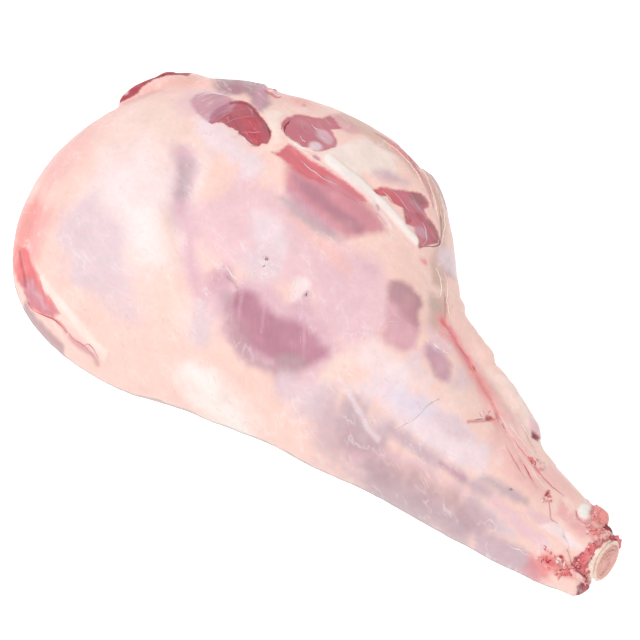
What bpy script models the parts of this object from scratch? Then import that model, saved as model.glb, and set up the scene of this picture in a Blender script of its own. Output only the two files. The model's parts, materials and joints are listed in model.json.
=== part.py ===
"""Raw leg of lamb with the shank bone in, lying on its side on a flat surface.

+X runs from the hip cut to the shank, +Y from the belly edge to the knee side, and +Z is up.
The origin is under the middle of the leg, on the surface that it lies on.
Sections are given in millimetres at the leg's own size; MM turns them into metres.
"""

from typing import NamedTuple

import bmesh
import bpy
import numpy as np
from mathutils import Vector

MM = 0.001

# Driving dimensions, in millimetres.
LENGTH = 390.0          # hip cut to the cut end of the shank bone
WIDTH = 215.0           # across the thigh, at its widest
THICKNESS = 87.0        # through the thigh, at its thickest
BONE_HEAD_RADIUS = 12.0
SHELL_GAP = 0.3         # clearance between the bone and the flesh round it
MIDDLE = (-0.5, -0.8)   # the middle of the finished leg's box, in the frame of the sizes below

# How finely the flesh is worked before it is cut.
RING_COUNT = 110
RING_POINTS = 64
VOXEL_SIZE = 2.4
SMOOTH_PASSES = 5
KEPT_FACES = 0.12       # share of the worked faces that the finished flesh keeps

# Section shape: flatter underneath than on top, widest a little under the middle.
TOP_POWER = 2.1
BOTTOM_POWER = 2.5
WIDEST_AT = 0.44

# The relief of the muscles fades out between these upward parts of the surface's normal.
TURN_UNDER = -0.1
TURN_OVER = 0.35


class Section(NamedTuple):
    """A cross-section of the leg: its place along it and its four sides, in parts of the whole."""

    name: str
    along: float        # of LENGTH, from the hip cut
    near: float         # of WIDTH, towards -Y
    far: float          # of WIDTH, towards +Y
    under: float        # of THICKNESS
    over: float         # of THICKNESS


SECTIONS = (
    Section("hip cut", 0.003, -0.130, -0.060, 0.32, 0.46),
    Section("hip rim", 0.010, -0.195, 0.008, 0.23, 0.54),
    Section("hip shoulder", 0.022, -0.262, 0.074, 0.14, 0.64),
    Section("rump end", 0.039, -0.332, 0.148, 0.07, 0.75),
    Section("rump back", 0.063, -0.395, 0.220, 0.02, 0.84),
    Section("rump", 0.098, -0.448, 0.295, -0.01, 0.93),
    Section("rump crest", 0.148, -0.484, 0.367, -0.03, 0.98),
    Section("thigh back", 0.218, -0.498, 0.428, -0.04, 1.01),
    Section("thigh", 0.300, -0.479, 0.479, -0.04, 1.02),
    Section("thigh front", 0.392, -0.423, 0.488, -0.03, 1.01),
    Section("knee back", 0.469, -0.382, 0.460, -0.02, 0.97),
    Section("knee", 0.526, -0.354, 0.382, 0.00, 0.92),
    Section("knee hollow", 0.577, -0.340, 0.286, 0.02, 0.86),
    Section("calf", 0.654, -0.305, 0.167, 0.04, 0.76),
    Section("calf end", 0.756, -0.274, 0.100, 0.04, 0.65),
    Section("shank", 0.859, -0.242, 0.047, 0.02, 0.56),
    Section("shank end", 0.923, -0.216, 0.026, -0.01, 0.49),
    Section("shank lip", 0.956, -0.198, 0.004, 0.03, 0.45),
    Section("shank cut", 0.967, -0.168, -0.040, 0.12, 0.36),
)


class Swell(NamedTuple):
    """A muscle that stands up under the skin, or a hollow where its height is negative."""

    name: str
    x: float
    y: float
    along: float        # half-length
    across: float       # half-width
    turn: float         # degrees, from +X towards +Y
    height: float


SWELLS = (
    Swell("rump dome", -138.0, -22.0, 46.0, 62.0, 10.0, 4.5),
    Swell("rump top", -120.0, 48.0, 42.0, 26.0, 25.0, 2.5),
    Swell("round of the thigh", -36.0, -18.0, 46.0, 34.0, -8.0, 4.0),
    Swell("thigh upper muscle", -62.0, 56.0, 46.0, 15.0, -22.0, 3.0),
    Swell("edge muscle", -22.0, 86.0, 34.0, 10.0, -30.0, 2.5),
    Swell("knee pad", 18.0, 26.0, 22.0, 22.0, 0.0, 3.0),
    Swell("outer calf", 72.0, -42.0, 62.0, 13.0, 4.0, 3.0),
    Swell("inner calf", 70.0, -10.0, 52.0, 13.0, -8.0, 2.5),
    Swell("hollow behind the knee", 38.0, 40.0, 18.0, 14.0, -40.0, -3.0),
    Swell("thigh hollow", -92.0, 4.0, 24.0, 34.0, 12.0, -3.0),
)


class Seam(NamedTuple):
    """A groove along which two muscles or two layers meet, through a few points on the top."""

    name: str
    points: tuple
    width: float
    depth: float


SEAMS = (
    Seam("hip opening", ((-168, -64), (-160, -80), (-142, -93), (-114, -101), (-84, -101)), 11.0, 4.0),
    Seam("rump seam", ((-128, 30), (-114, 4), (-92, -28), (-66, -52)), 11.0, 2.2),
    Seam("upper seam", ((-104, 76), (-70, 74), (-30, 60), (4, 50)), 8.0, 1.8),
    Seam("vein groove", ((40, 36), (62, 24), (92, 8), (118, -4), (140, -10)), 5.0, 2.4),
    Seam("calf seam", ((24, -34), (70, -33), (112, -30), (158, -24)), 5.0, 1.8),
)


class Lump(NamedTuple):
    """A rounded piece of tissue that shows beyond the main form: an ellipsoid, turned about Z."""

    name: str
    centre: tuple
    radii: tuple
    turn: float


LUMPS = (
    Lump("flesh under the bone", (178.5, -33.8, 21.5), (13.5, 9.5, 12.5), 4.0),
    Lump("flesh beside the bone", (171.0, -13.0, 30.0), (11.0, 11.0, 12.0), 0.0),
    Lump("heel knob", (173.2, -0.8, 30.0), (8.5, 5.5, 7.0), -35.0),
    Lump("lean under the rump fat", (-157.0, 54.0, 42.0), (22.0, 13.0, 15.0), 34.0),
)

# The heel tendon runs along the knee-side edge of the shank and ends in a cut stub.
TENDON_POINTS = ((44, 42, 40), (72, 31, 36), (98, 22.5, 33), (121, 14.5, 31))
TENDON_RADII = (3.0, 5.5, 6.5, 5.0)

# The bone's route from the knee to its cut end, and its radius at each point.
BONE_POINTS = ((30, -14, 38), (56, -16, 37), (90, -17, 35), (126, -18, 33),
               (154, -19, 32), (172, -19.5, 33), (181, -19.8, 35.2), (188.8, -19.6, 38.2))
BONE_RADII = (9.0, 9.5, 8.5, 7.5, 8.0, 9.6, BONE_HEAD_RADIUS, BONE_HEAD_RADIUS - 0.4)


def clear_scene() -> None:
    """Remove every object, so that the model starts from an empty scene."""
    for item in list(bpy.data.objects):
        bpy.data.objects.remove(item, do_unlink=True)


def make_collection(name: str) -> bpy.types.Collection:
    """Return a new collection that is linked to the scene."""
    collection = bpy.data.collections.new(name)
    bpy.context.scene.collection.children.link(collection)
    return collection


def make_material(name: str, colour: tuple, roughness: float) -> bpy.types.Material:
    """Return a Principled material of one colour."""
    material = bpy.data.materials.new(name)
    material.use_nodes = True
    shader = material.node_tree.nodes["Principled BSDF"]
    shader.inputs["Base Color"].default_value = (*colour, 1.0)
    shader.inputs["Roughness"].default_value = roughness
    shader.inputs["Metallic"].default_value = 0.0
    return material


def move_to(item: bpy.types.Object, collection: bpy.types.Collection) -> None:
    """Take an object out of its collections and put it in this one."""
    for owner in list(item.users_collection):
        owner.objects.unlink(item)
    collection.objects.link(item)


def add_object(name: str, mesh: bpy.types.Mesh, collection: bpy.types.Collection) -> bpy.types.Object:
    """Return a new object that holds the mesh."""
    item = bpy.data.objects.new(name, mesh)
    collection.objects.link(item)
    return item


def curve_through(rows: np.ndarray, count: int) -> np.ndarray:
    """Return count rows on the smooth curve (Catmull-Rom) that passes through all the rows."""
    rows = np.asarray(rows, float)
    padded = np.vstack([2 * rows[0] - rows[1], rows, 2 * rows[-1] - rows[-2]])
    place = np.linspace(0, len(rows) - 1, count)
    index = np.minimum(place.astype(int), len(rows) - 2)
    t = (place - index)[:, None]
    before, start, end, after = (padded[index + k] for k in range(4))
    return start + 0.5 * t * (
        (end - before)
        + t * (2 * before - 5 * start + 4 * end - after)
        + t * t * (3 * (start - end) + after - before)
    )


def section_rows() -> np.ndarray:
    """Return each section as x, near side, far side, underside and top, in millimetres."""
    return np.array([
        (
            (section.along - 0.5) * LENGTH,
            section.near * WIDTH,
            section.far * WIDTH,
            section.under * THICKNESS,
            section.over * THICKNESS,
        )
        for section in SECTIONS
    ])


def distance_to_line(x: np.ndarray, y: np.ndarray, points: tuple) -> np.ndarray:
    """Return the distance in plan from each x, y to the smooth line through the points."""
    line = curve_through(np.array(points, float), 40)
    nearest = np.full(x.shape, np.inf)
    for (x0, y0), (x1, y1) in zip(line[:-1], line[1:]):
        run_x, run_y = x1 - x0, y1 - y0
        t = np.clip(((x - x0) * run_x + (y - y0) * run_y) / (run_x ** 2 + run_y ** 2), 0, 1)
        nearest = np.minimum(nearest, np.hypot(x - x0 - t * run_x, y - y0 - t * run_y))
    return nearest


def relief(x: np.ndarray, y: np.ndarray) -> np.ndarray:
    """Return how far the muscles and seams lift the upper surface at each x, y."""
    lift = np.zeros(x.shape)
    for swell in SWELLS:
        cos, sin = np.cos(np.radians(swell.turn)), np.sin(np.radians(swell.turn))
        run, side = x - swell.x, y - swell.y
        u = (run * cos + side * sin) / swell.along
        v = (side * cos - run * sin) / swell.across
        lift += swell.height * np.exp(-1.2 * (u ** 2 + v ** 2))
    for seam in SEAMS:
        lift -= seam.depth * np.exp(-((distance_to_line(x, y, seam.points) / (0.5 * seam.width)) ** 2))
    return lift


def flesh_rings() -> np.ndarray:
    """Return the rings of points that skin the leg, as an array of rings, points and x, y, z."""
    angle = np.linspace(0.0, 2.0 * np.pi, RING_POINTS, endpoint=False)
    cos, sin = np.cos(angle), np.sin(angle)
    upper = sin > 0.0
    power = np.where(upper, 2.0 / TOP_POWER, 2.0 / BOTTOM_POWER)
    across = np.sign(cos) * np.abs(cos) ** power
    rise = np.abs(sin) ** power
    rings = []
    for x, near, far, under, over in curve_through(section_rows(), RING_COUNT):
        widest = under + WIDEST_AT * (over - under)
        y = 0.5 * (near + far) + 0.5 * (far - near) * across
        z = np.where(upper, widest + (over - widest) * rise, widest - (widest - under) * rise)
        rings.append(np.stack([np.full(y.shape, x), y, z], axis=1))
    return np.array(rings)


def loft_mesh(name: str, rings: np.ndarray) -> bpy.types.Mesh:
    """Return a closed mesh that skins the rings, with a fan over each end."""
    work = bmesh.new()
    loops = [[work.verts.new(Vector(point) * MM) for point in ring] for ring in rings]
    for first, second in zip(loops[:-1], loops[1:]):
        for k in range(len(first)):
            following = (k + 1) % len(first)
            work.faces.new((first[k], second[k], second[following], first[following]))
    for loop in (loops[0], loops[-1]):
        middle = work.verts.new(sum((vert.co for vert in loop), Vector()) / len(loop))
        for k in range(len(loop)):
            work.faces.new((loop[k], loop[(k + 1) % len(loop)], middle))
    bmesh.ops.recalc_face_normals(work, faces=work.faces)
    mesh = bpy.data.meshes.new(name)
    work.to_mesh(mesh)
    work.free()
    return mesh


def raise_muscles(mesh: bpy.types.Mesh) -> None:
    """Move the points of the upper surface out or in along their normals by the relief there."""
    points = np.array([vert.co[:] for vert in mesh.vertices])
    normals = np.array([vert.normal[:] for vert in mesh.vertices])
    share = np.clip((normals[:, 2] - TURN_UNDER) / (TURN_OVER - TURN_UNDER), 0.0, 1.0)
    lift = relief(points[:, 0] / MM, points[:, 1] / MM) * share * MM
    for vert, point in zip(mesh.vertices, points + normals * lift[:, None]):
        vert.co = point


def add_lump(lump: Lump) -> bpy.types.Object:
    """Return an ellipsoid of tissue as a mesh object."""
    bpy.ops.mesh.primitive_uv_sphere_add(
        segments=24, ring_count=16, radius=1.0, location=Vector(lump.centre) * MM)
    item = bpy.context.active_object
    item.name = lump.name
    item.scale = Vector(lump.radii) * MM
    item.rotation_euler.z = np.radians(lump.turn)
    return item


def add_rod(name: str, points: tuple, radii: tuple, grow: float = 0.0, sides: int = 6) -> bpy.types.Object:
    """Return a round rod as a closed mesh object.

    Args:
        name: the object's name.
        points: the middle line, in millimetres.
        radii: the radius at each point, in millimetres.
        grow: what is added to the radius and to both ends, in millimetres.
        sides: the curve's bevel resolution.
    """
    line = [Vector(point) for point in points]
    line[0] += grow * (line[0] - line[1]).normalized()
    line[-1] += grow * (line[-1] - line[-2]).normalized()
    smooth = curve_through(np.array([(*p, r + grow) for p, r in zip(line, radii)]), 3 * len(line))
    curve = bpy.data.curves.new(name, "CURVE")
    curve.dimensions = "3D"
    curve.bevel_depth = MM
    curve.bevel_resolution = sides
    curve.use_fill_caps = True
    spline = curve.splines.new("POLY")
    spline.points.add(len(smooth) - 1)
    for point, (x, y, z, radius) in zip(spline.points, smooth):
        point.co = (x * MM, y * MM, z * MM, 1.0)
        point.radius = radius
    source = bpy.data.objects.new(name + " curve", curve)
    bpy.context.scene.collection.objects.link(source)
    depsgraph = bpy.context.evaluated_depsgraph_get()
    mesh = bpy.data.meshes.new_from_object(source.evaluated_get(depsgraph))
    mesh.name = name
    work = bmesh.new()
    work.from_mesh(mesh)
    bmesh.ops.remove_doubles(work, verts=work.verts, dist=0.00001)
    bmesh.ops.recalc_face_normals(work, faces=work.faces)
    work.to_mesh(mesh)
    work.free()
    bpy.data.objects.remove(source, do_unlink=True)
    return add_object(name, mesh, bpy.context.scene.collection)


def add_cut(target: bpy.types.Object, cutter: bpy.types.Object, name: str) -> None:
    """Cut one object out of another and show the cutter as wires only."""
    cutter.hide_render = True
    cutter.display_type = "WIRE"
    cut = target.modifiers.new(name, "BOOLEAN")
    cut.operation = "DIFFERENCE"
    cut.solver = "EXACT"
    cut.object = cutter


def build_flesh(collection: bpy.types.Collection, cutters: bpy.types.Collection) -> bpy.types.Object:
    """Return the meat, fat, skin and tendon of the leg as one solid with the bone's socket in it."""
    flesh = add_object("leg_meat", loft_mesh("leg_meat", flesh_rings()), collection)
    raise_muscles(flesh.data)
    pieces = [add_lump(lump) for lump in LUMPS]
    pieces.append(add_rod("heel tendon", TENDON_POINTS, TENDON_RADII))
    bpy.ops.object.select_all(action="DESELECT")
    for piece in (*pieces, flesh):
        piece.select_set(True)
    bpy.context.view_layer.objects.active = flesh
    bpy.ops.object.join()

    weld = flesh.modifiers.new("grow together", "REMESH")
    weld.mode = "VOXEL"
    weld.voxel_size = VOXEL_SIZE * MM
    weld.adaptivity = 0.0
    smooth = flesh.modifiers.new("soften", "SMOOTH")
    smooth.factor = 0.5
    smooth.iterations = SMOOTH_PASSES
    thin = flesh.modifiers.new("thin out", "DECIMATE")
    thin.ratio = KEPT_FACES

    bpy.ops.mesh.primitive_cube_add(size=1.0, location=(0.0, 0.0, -0.5 * THICKNESS * MM))
    floor = bpy.context.active_object
    floor.name = "resting surface"
    floor.scale = (2.0 * LENGTH * MM, 2.0 * WIDTH * MM, THICKNESS * MM)
    socket = add_rod("bone socket", BONE_POINTS, BONE_RADII, grow=SHELL_GAP)
    move_to(floor, cutters)
    move_to(socket, cutters)
    add_cut(flesh, floor, "flatten underneath")
    add_cut(flesh, socket, "make room for the bone")
    flesh.data.shade_smooth()
    flesh.data.materials.clear()
    flesh.data.materials.append(make_material("raw_lamb", (0.83, 0.55, 0.50), 0.35))
    return flesh


def build_bone(collection: bpy.types.Collection) -> bpy.types.Object:
    """Return the shank bone, from the knee to its cut end."""
    bone = add_rod("shank_bone", BONE_POINTS, BONE_RADII)
    move_to(bone, collection)
    bone.data.shade_smooth()
    bone.data.materials.append(make_material("cut_bone", (0.86, 0.62, 0.50), 0.5))
    return bone


def centre_on_origin(collections: tuple) -> None:
    """Hang every object on one empty that brings the middle of the leg over the origin."""
    middle = bpy.data.objects.new("middle_of_the_leg", None)
    bpy.context.scene.collection.objects.link(middle)
    middle.location = (-MIDDLE[0] * MM, -MIDDLE[1] * MM, 0.0)
    for collection in collections:
        for item in collection.objects:
            item.parent = middle


def main() -> None:
    """Build the leg."""
    clear_scene()
    collection = make_collection("leg_of_lamb")
    cutters = make_collection("cutters")
    build_flesh(collection, cutters)
    build_bone(collection)
    centre_on_origin((collection, cutters))


main()
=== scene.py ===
"""Raw leg of lamb: the looks.

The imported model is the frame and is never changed. This script dresses it: a
skin of fat, fell and bare lean over the CAD leg, the shank bone's sawn end, the
cords of tendon and vein that lie on the skin, and a plain studio round it.
Plan positions are millimetres on the leg's own frame: +X runs to the shank,
+Y to the knee side, and the leg lies on Z = 0.
"""

import json
import logging
import math
import random
from dataclasses import dataclass
from enum import Enum
from typing import Any

import bpy
import numpy as np
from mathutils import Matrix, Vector
from mathutils.bvhtree import BVHTree

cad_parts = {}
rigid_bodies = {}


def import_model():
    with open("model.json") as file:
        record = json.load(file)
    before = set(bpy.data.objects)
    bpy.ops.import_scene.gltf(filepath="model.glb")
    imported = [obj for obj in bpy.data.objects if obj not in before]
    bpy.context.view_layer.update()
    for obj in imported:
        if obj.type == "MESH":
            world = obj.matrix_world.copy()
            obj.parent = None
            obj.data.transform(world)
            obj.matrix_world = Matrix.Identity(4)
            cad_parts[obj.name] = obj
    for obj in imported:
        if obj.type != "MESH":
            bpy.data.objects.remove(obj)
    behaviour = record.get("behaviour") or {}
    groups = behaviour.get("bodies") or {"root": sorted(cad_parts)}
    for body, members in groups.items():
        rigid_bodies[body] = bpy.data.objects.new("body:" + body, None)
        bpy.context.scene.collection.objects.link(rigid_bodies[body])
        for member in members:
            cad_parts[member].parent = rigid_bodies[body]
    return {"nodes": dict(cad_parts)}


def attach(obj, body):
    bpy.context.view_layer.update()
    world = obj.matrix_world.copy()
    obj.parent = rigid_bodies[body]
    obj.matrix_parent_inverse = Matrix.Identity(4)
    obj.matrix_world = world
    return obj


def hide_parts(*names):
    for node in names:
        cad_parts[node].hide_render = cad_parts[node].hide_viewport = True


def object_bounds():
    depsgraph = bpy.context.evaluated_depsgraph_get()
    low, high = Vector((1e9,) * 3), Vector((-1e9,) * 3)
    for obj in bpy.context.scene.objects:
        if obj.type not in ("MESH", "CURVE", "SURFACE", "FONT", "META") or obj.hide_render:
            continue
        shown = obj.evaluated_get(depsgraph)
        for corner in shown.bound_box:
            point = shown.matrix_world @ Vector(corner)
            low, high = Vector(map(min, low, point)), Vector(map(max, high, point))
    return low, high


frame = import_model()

CAD_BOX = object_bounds()
LOG = logging.getLogger("leg_of_lamb")
MM = 0.001
LEG_LENGTH = 387.3  # mm, the length that the plan positions are drawn at

Point = tuple[float, float]
Path = tuple[Point, ...]


# ---------------------------------------------------------------- small tools


def linear(colour: str) -> tuple[float, float, float]:
    """Turns an sRGB hex colour into linear red, green and blue.

    Args:
        colour: the colour, such as "#fdd5ca".

    Returns:
        Three numbers from 0 to 1.
    """
    parts = [int(colour[i:i + 2], 16) / 255 for i in (1, 3, 5)]
    return tuple(p / 12.92 if p <= 0.04045 else ((p + 0.055) / 1.055) ** 2.4 for p in parts)


def ease(value: np.ndarray) -> np.ndarray:
    """Smooth step from 0 to 1 as value goes from 0 to 1."""
    t = np.clip(value, 0.0, 1.0)
    return t * t * (3 - 2 * t)


def lattice_noise(points: np.ndarray, size: float, seed: int) -> np.ndarray:
    """Soft value noise, the same on every run.

    Args:
        points: N by 3 positions, in mm.
        size: the width of one blob, in mm.
        seed: which of the endless patterns to take.

    Returns:
        N numbers from -1 to 1.
    """
    cell = np.floor(points / size).astype(np.int64)
    part = points / size - cell
    part = part * part * (3 - 2 * part)
    total = np.zeros(len(points))
    for corner in range(8):
        step = np.array([corner & 1, corner >> 1 & 1, corner >> 2 & 1])
        at = (cell + step).astype(np.uint64)
        key = (at[:, 0] * np.uint64(73856093) ^ at[:, 1] * np.uint64(19349663)
               ^ at[:, 2] * np.uint64(83492791) ^ np.uint64(seed * 2654435761))
        key = (key ^ key >> np.uint64(15)) * np.uint64(2246822519)
        key = (key ^ key >> np.uint64(13)) * np.uint64(3266489917)
        value = (key >> np.uint64(16) & np.uint64(0xFFFF)).astype(float) / 32767.5 - 1
        share = np.where(step, part, 1 - part)
        total += value * share[:, 0] * share[:, 1] * share[:, 2]
    return total


def outline_depth(points: np.ndarray, outline: Path) -> np.ndarray:
    """How far plan points lie inside a closed outline.

    Args:
        points: N by 2 plan positions, in mm.
        outline: the corners, in mm.

    Returns:
        N distances to the outline in mm, above 0 inside it and below 0 outside.
    """
    corners = np.array(outline, float)
    best = np.full(len(points), np.inf)
    inside = np.zeros(len(points), bool)
    for a, b in zip(corners, np.roll(corners, -1, axis=0)):
        along = b - a
        share = np.clip((points - a) @ along / max(along @ along, 1e-9), 0, 1)
        best = np.minimum(best, np.linalg.norm(points - a - share[:, None] * along, axis=1))
        crosses = (a[1] > points[:, 1]) != (b[1] > points[:, 1])
        with np.errstate(divide="ignore", invalid="ignore"):
            at = a[0] + (points[:, 1] - a[1]) * (b[0] - a[0]) / (b[1] - a[1])
        inside ^= crosses & (points[:, 0] < at)
    return np.where(inside, best, -best)


def path_gap(points: np.ndarray, path: Path) -> tuple[np.ndarray, np.ndarray]:
    """The distance of plan points from an open path.

    Args:
        points: N by 2 plan positions, in mm.
        path: the path's points, in mm.

    Returns:
        The distances in mm, and how far along the path the nearest place is, 0 to 1.
    """
    marks = np.array(path, float)
    steps = np.linalg.norm(np.diff(marks, axis=0), axis=1)
    starts = np.concatenate([[0.0], np.cumsum(steps)])
    best, where = np.full(len(points), np.inf), np.zeros(len(points))
    for i, (a, b) in enumerate(zip(marks[:-1], marks[1:])):
        along = b - a
        share = np.clip((points - a) @ along / max(along @ along, 1e-9), 0, 1)
        gap = np.linalg.norm(points - a - share[:, None] * along, axis=1)
        nearer = gap < best
        best = np.where(nearer, gap, best)
        where = np.where(nearer, (starts[i] + share * steps[i]) / starts[-1], where)
    return best, where


def oval(x: float, y: float, long: float, wide: float, turn: float = 0.0) -> Path:
    """The outline of an oval on the plan.

    Args:
        x, y: its middle, in mm.
        long, wide: its half length and half width, in mm.
        turn: degrees from +X to its length.

    Returns:
        Its corners.
    """
    c, s = math.cos(math.radians(turn)), math.sin(math.radians(turn))
    ring = [math.tau * i / 20 for i in range(20)]
    return tuple((x + long * math.cos(t) * c - wide * math.sin(t) * s,
                  y + long * math.cos(t) * s + wide * math.sin(t) * c) for t in ring)


def select_only(obj: bpy.types.Object) -> None:
    """Deselects everything, then selects obj and makes it active."""
    for other in bpy.context.view_layer.objects:
        other.select_set(False)
    obj.select_set(True)
    bpy.context.view_layer.objects.active = obj


def apply_modifier(obj: bpy.types.Object, kind: str, **settings: Any) -> None:
    """Adds one modifier to obj with its settings and applies it.

    Args:
        obj: the piece.
        kind: the modifier's type, such as "REMESH".
        settings: its properties.
    """
    select_only(obj)
    made = obj.modifiers.new(kind.title(), kind)
    for name, value in settings.items():
        setattr(made, name, value)
    bpy.ops.object.modifier_apply(modifier=made.name)


def copy_of_node(node: str, name: str) -> bpy.types.Object:
    """A piece that starts as the merged mesh of a CAD node.

    Args:
        node: the CAD node.
        name: the new piece's name.

    Returns:
        The new object, selected and active.
    """
    mesh = frame["nodes"][node].data.copy()
    mesh.name = name
    mesh.materials.clear()
    obj = bpy.data.objects.new(name, mesh)
    bpy.context.scene.collection.objects.link(obj)
    select_only(obj)
    bpy.ops.object.mode_set(mode="EDIT")
    bpy.ops.mesh.select_all(action="SELECT")
    bpy.ops.mesh.remove_doubles(threshold=1e-6)
    bpy.ops.object.mode_set(mode="OBJECT")
    return obj


def read_points(obj: bpy.types.Object) -> np.ndarray:
    """The piece's vertices as N by 3 numbers, in mm of the plan."""
    flat = np.empty(len(obj.data.vertices) * 3, np.float32)
    obj.data.vertices.foreach_get("co", flat)
    return flat.reshape(-1, 3).astype(float) / plan_unit()


def write_points(obj: bpy.types.Object, points: np.ndarray) -> None:
    """Sets the piece's vertices from N by 3 numbers, in mm of the plan."""
    obj.data.vertices.foreach_set("co", (points * plan_unit()).astype(np.float32).ravel())
    obj.data.update()


def read_normals(obj: bpy.types.Object) -> np.ndarray:
    """The piece's vertex normals as N by 3 numbers."""
    flat = np.empty(len(obj.data.vertices) * 3, np.float32)
    obj.data.vertex_normals.foreach_get("vector", flat)
    return flat.reshape(-1, 3).astype(float)


def plan_unit() -> float:
    """The length of one plan millimetre in metres, from the CAD box."""
    return (CAD_BOX[1].x - CAD_BOX[0].x) / LEG_LENGTH


def write_attribute(obj: bpy.types.Object, name: str, values: np.ndarray) -> None:
    """Keeps numbers, colours or vectors on the piece's vertices.

    Args:
        obj: the piece.
        name: the attribute that its material reads.
        values: N numbers, or N by 3 for a colour.
    """
    if values.ndim == 1:
        made = obj.data.attributes.new(name, "FLOAT", "POINT")
        made.data.foreach_set("value", values.astype(np.float32))
    else:
        made = obj.data.attributes.new(name, "FLOAT_VECTOR", "POINT")
        made.data.foreach_set("vector", values.astype(np.float32).ravel())


# ------------------------------------------------------------ what paints it


class Tone(Enum):
    """Colours of raw lamb, sRGB."""

    WHITE_FAT = "#fdf2ed"
    CREAM_FAT = "#fbe6dc"
    PALE_PEACH = "#fbdcd2"
    PEACH_FAT = "#fdd5ca"
    PINK_FAT = "#f9c6c0"
    SHELL_PINK = "#f5b8b6"
    ORANGE_FAT = "#f3ae9f"
    TAN_FAT = "#dfb8aa"
    GREY_TAN = "#cfb6ac"
    ROSE_WHITE = "#fde5e5"
    LILAC_WHITE = "#f4dfe5"
    LILAC_GREY = "#e6cdd3"
    PINK_LILAC = "#f2cad0"
    MAUVE_VEIL = "#e2b6c3"
    MAUVE_GREY = "#d3b5be"
    GREY_MAUVE = "#c9aeb5"
    BLUE_LILAC = "#e6d8e6"
    PLUM_VEIL = "#d3a0b0"
    ROSE_VEIL = "#dd9fa6"
    DUSK_MAUVE = "#b9929a"
    CORAL = "#f79f9f"
    CORAL_RED = "#ee787c"
    SALMON = "#f0948e"
    FLUSH = "#e38e94"
    BLOOD = "#d4606a"
    DEEP_BLOOD = "#b04450"
    DARK_BLOOD = "#903840"
    BROWN_EDGE = "#8e5e5e"
    TENDON_WHITE = "#fbf7ef"
    # the grey of the painted contact shadow along the leg's rolled-under edge
    EDGE_GREY = "#8f8683"
    CRIMSON = "#b9606c"
    BRIGHT_CRIMSON = "#c24f5c"
    RED_LEAN = "#d86d78"
    ROSE_LEAN = "#c8707f"
    PINK_LEAN = "#d58a98"
    MAUVE_LEAN = "#c28497"
    PLUM_LEAN = "#b5768a"
    DUSK_LEAN = "#b98793"
    PALE_LEAN = "#dda6b4"
    VEILED_LEAN = "#cb9aab"
    BROWN_LEAN = "#a3686d"
    PALE_THREAD = "#eec6ce"


class Layer(Enum):
    """Which of the skin's two coats a stroke of colour goes on."""

    COVER = "cover"
    LEAN = "lean"


class Side(Enum):
    """Which way up a feature faces."""

    TOP = "top"
    UNDER = "under"


@dataclass(frozen=True)
class Patch:
    """A soft-edged area of one colour, raised or sunk.

    Attributes:
        name: what it is on the leg.
        tone: its colour.
        outline: its corners on the plan, mm.
        soft: width of its edge, mm.
        strength: how much of the colour it lays, 0 to 1.
        lift: how far it stands above the skin round it, mm.
        layer: the coat that takes the colour.
        side: which way up it faces.
    """

    name: str
    tone: Tone
    outline: Path
    soft: float = 10.0
    strength: float = 1.0
    lift: float = 0.0
    layer: Layer = Layer.COVER
    side: Side = Side.TOP

    def depth(self, plan: np.ndarray) -> np.ndarray:
        """How far inside the outline each plan point lies, mm."""
        return outline_depth(plan, self.outline)

    def box(self) -> tuple[np.ndarray, np.ndarray]:
        """Lowest and highest corner of all that the patch can reach, mm."""
        marks = np.array(self.outline)
        return marks.min(0) - self.soft, marks.max(0) + self.soft


@dataclass(frozen=True)
class Streak(Patch):
    """A stroke of one colour along a path; outline holds the path.

    Attributes:
        width: its full width at the start, mm.
        end_width: its full width at the end, mm; the same as width if below 0.
    """

    width: float = 3.0
    end_width: float = -1.0

    def depth(self, plan: np.ndarray) -> np.ndarray:
        """How far inside the stroke each plan point lies, mm."""
        gap, where = path_gap(plan, self.outline)
        end = self.width if self.end_width < 0 else self.end_width
        return (self.width + (end - self.width) * where) / 2 - gap

    def box(self) -> tuple[np.ndarray, np.ndarray]:
        """Lowest and highest corner of all that the stroke can reach, mm."""
        low, high = super().box()
        return low - self.width, high + self.width


@dataclass(frozen=True)
class Window:
    """A place where the fat is off and lean shows.

    Attributes:
        name: the muscle.
        tone: the lean's colour.
        outline: its corners on the plan, mm.
        soft: the width over which the cover thins out, mm.
        bare: how bare the lean is; 0 is all veiled and 1 is bare.
        sink: how far the lean lies below the fat's top, mm.
        grain: degrees from +X to its fibres.
        streaky: how strongly its fibres show, 0 to 1.
        side: which way up it faces.
    """

    name: str
    tone: Tone
    outline: Path
    soft: float
    bare: float
    sink: float
    grain: float
    streaky: float = 0.4
    side: Side = Side.TOP


@dataclass(frozen=True)
class Lump:
    """A swelling of the meat, joined to the leg before its mesh is evened.

    Attributes:
        name: what it is on the leg.
        place: its middle on the plan, mm.
        sink: how far its middle lies below the surface there, mm.
        size: its half lengths, mm.
        turn: degrees from +X to its length.
        level: height of its middle above the table in mm, where it stands out past the rim; 0 follows the surface.
    """

    name: str
    place: Point
    sink: float
    size: tuple[float, float, float]
    turn: float = 0.0
    level: float = 0.0


@dataclass(frozen=True)
class Strand:
    """A thin cord, thread or lip of tissue that lies on the skin.

    Attributes:
        name: what it is on the leg.
        tone: its colour.
        path: its route on the plan, mm.
        width: its full width at its thickest, mm.
        lift: how far its middle line stands above the skin, mm.
        level: its height above the table in mm, where it hangs free of the skin; 0 lays it on the skin.
    """

    name: str
    tone: Tone
    path: Path
    width: float = 0.8
    lift: float = 0.0
    level: float = 0.0


@dataclass(frozen=True)
class Rag:
    """A torn flap or lump of tissue, flat underneath and uneven on top.

    Attributes:
        name: what it is on the leg.
        tone, edge_tone: its colour in the middle and at its edge.
        outline: its corners on the plan, mm.
        thick: its thickness in the middle, mm.
        level: its height above the table in mm, where it hangs free of the skin; 0 lays it on the skin.
        slope: how fast that height grows with X and with Y.
    """

    name: str
    tone: Tone
    edge_tone: Tone
    outline: Path
    thick: float = 1.2
    level: float = 0.0
    slope: Point = (0.0, 0.0)


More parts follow.
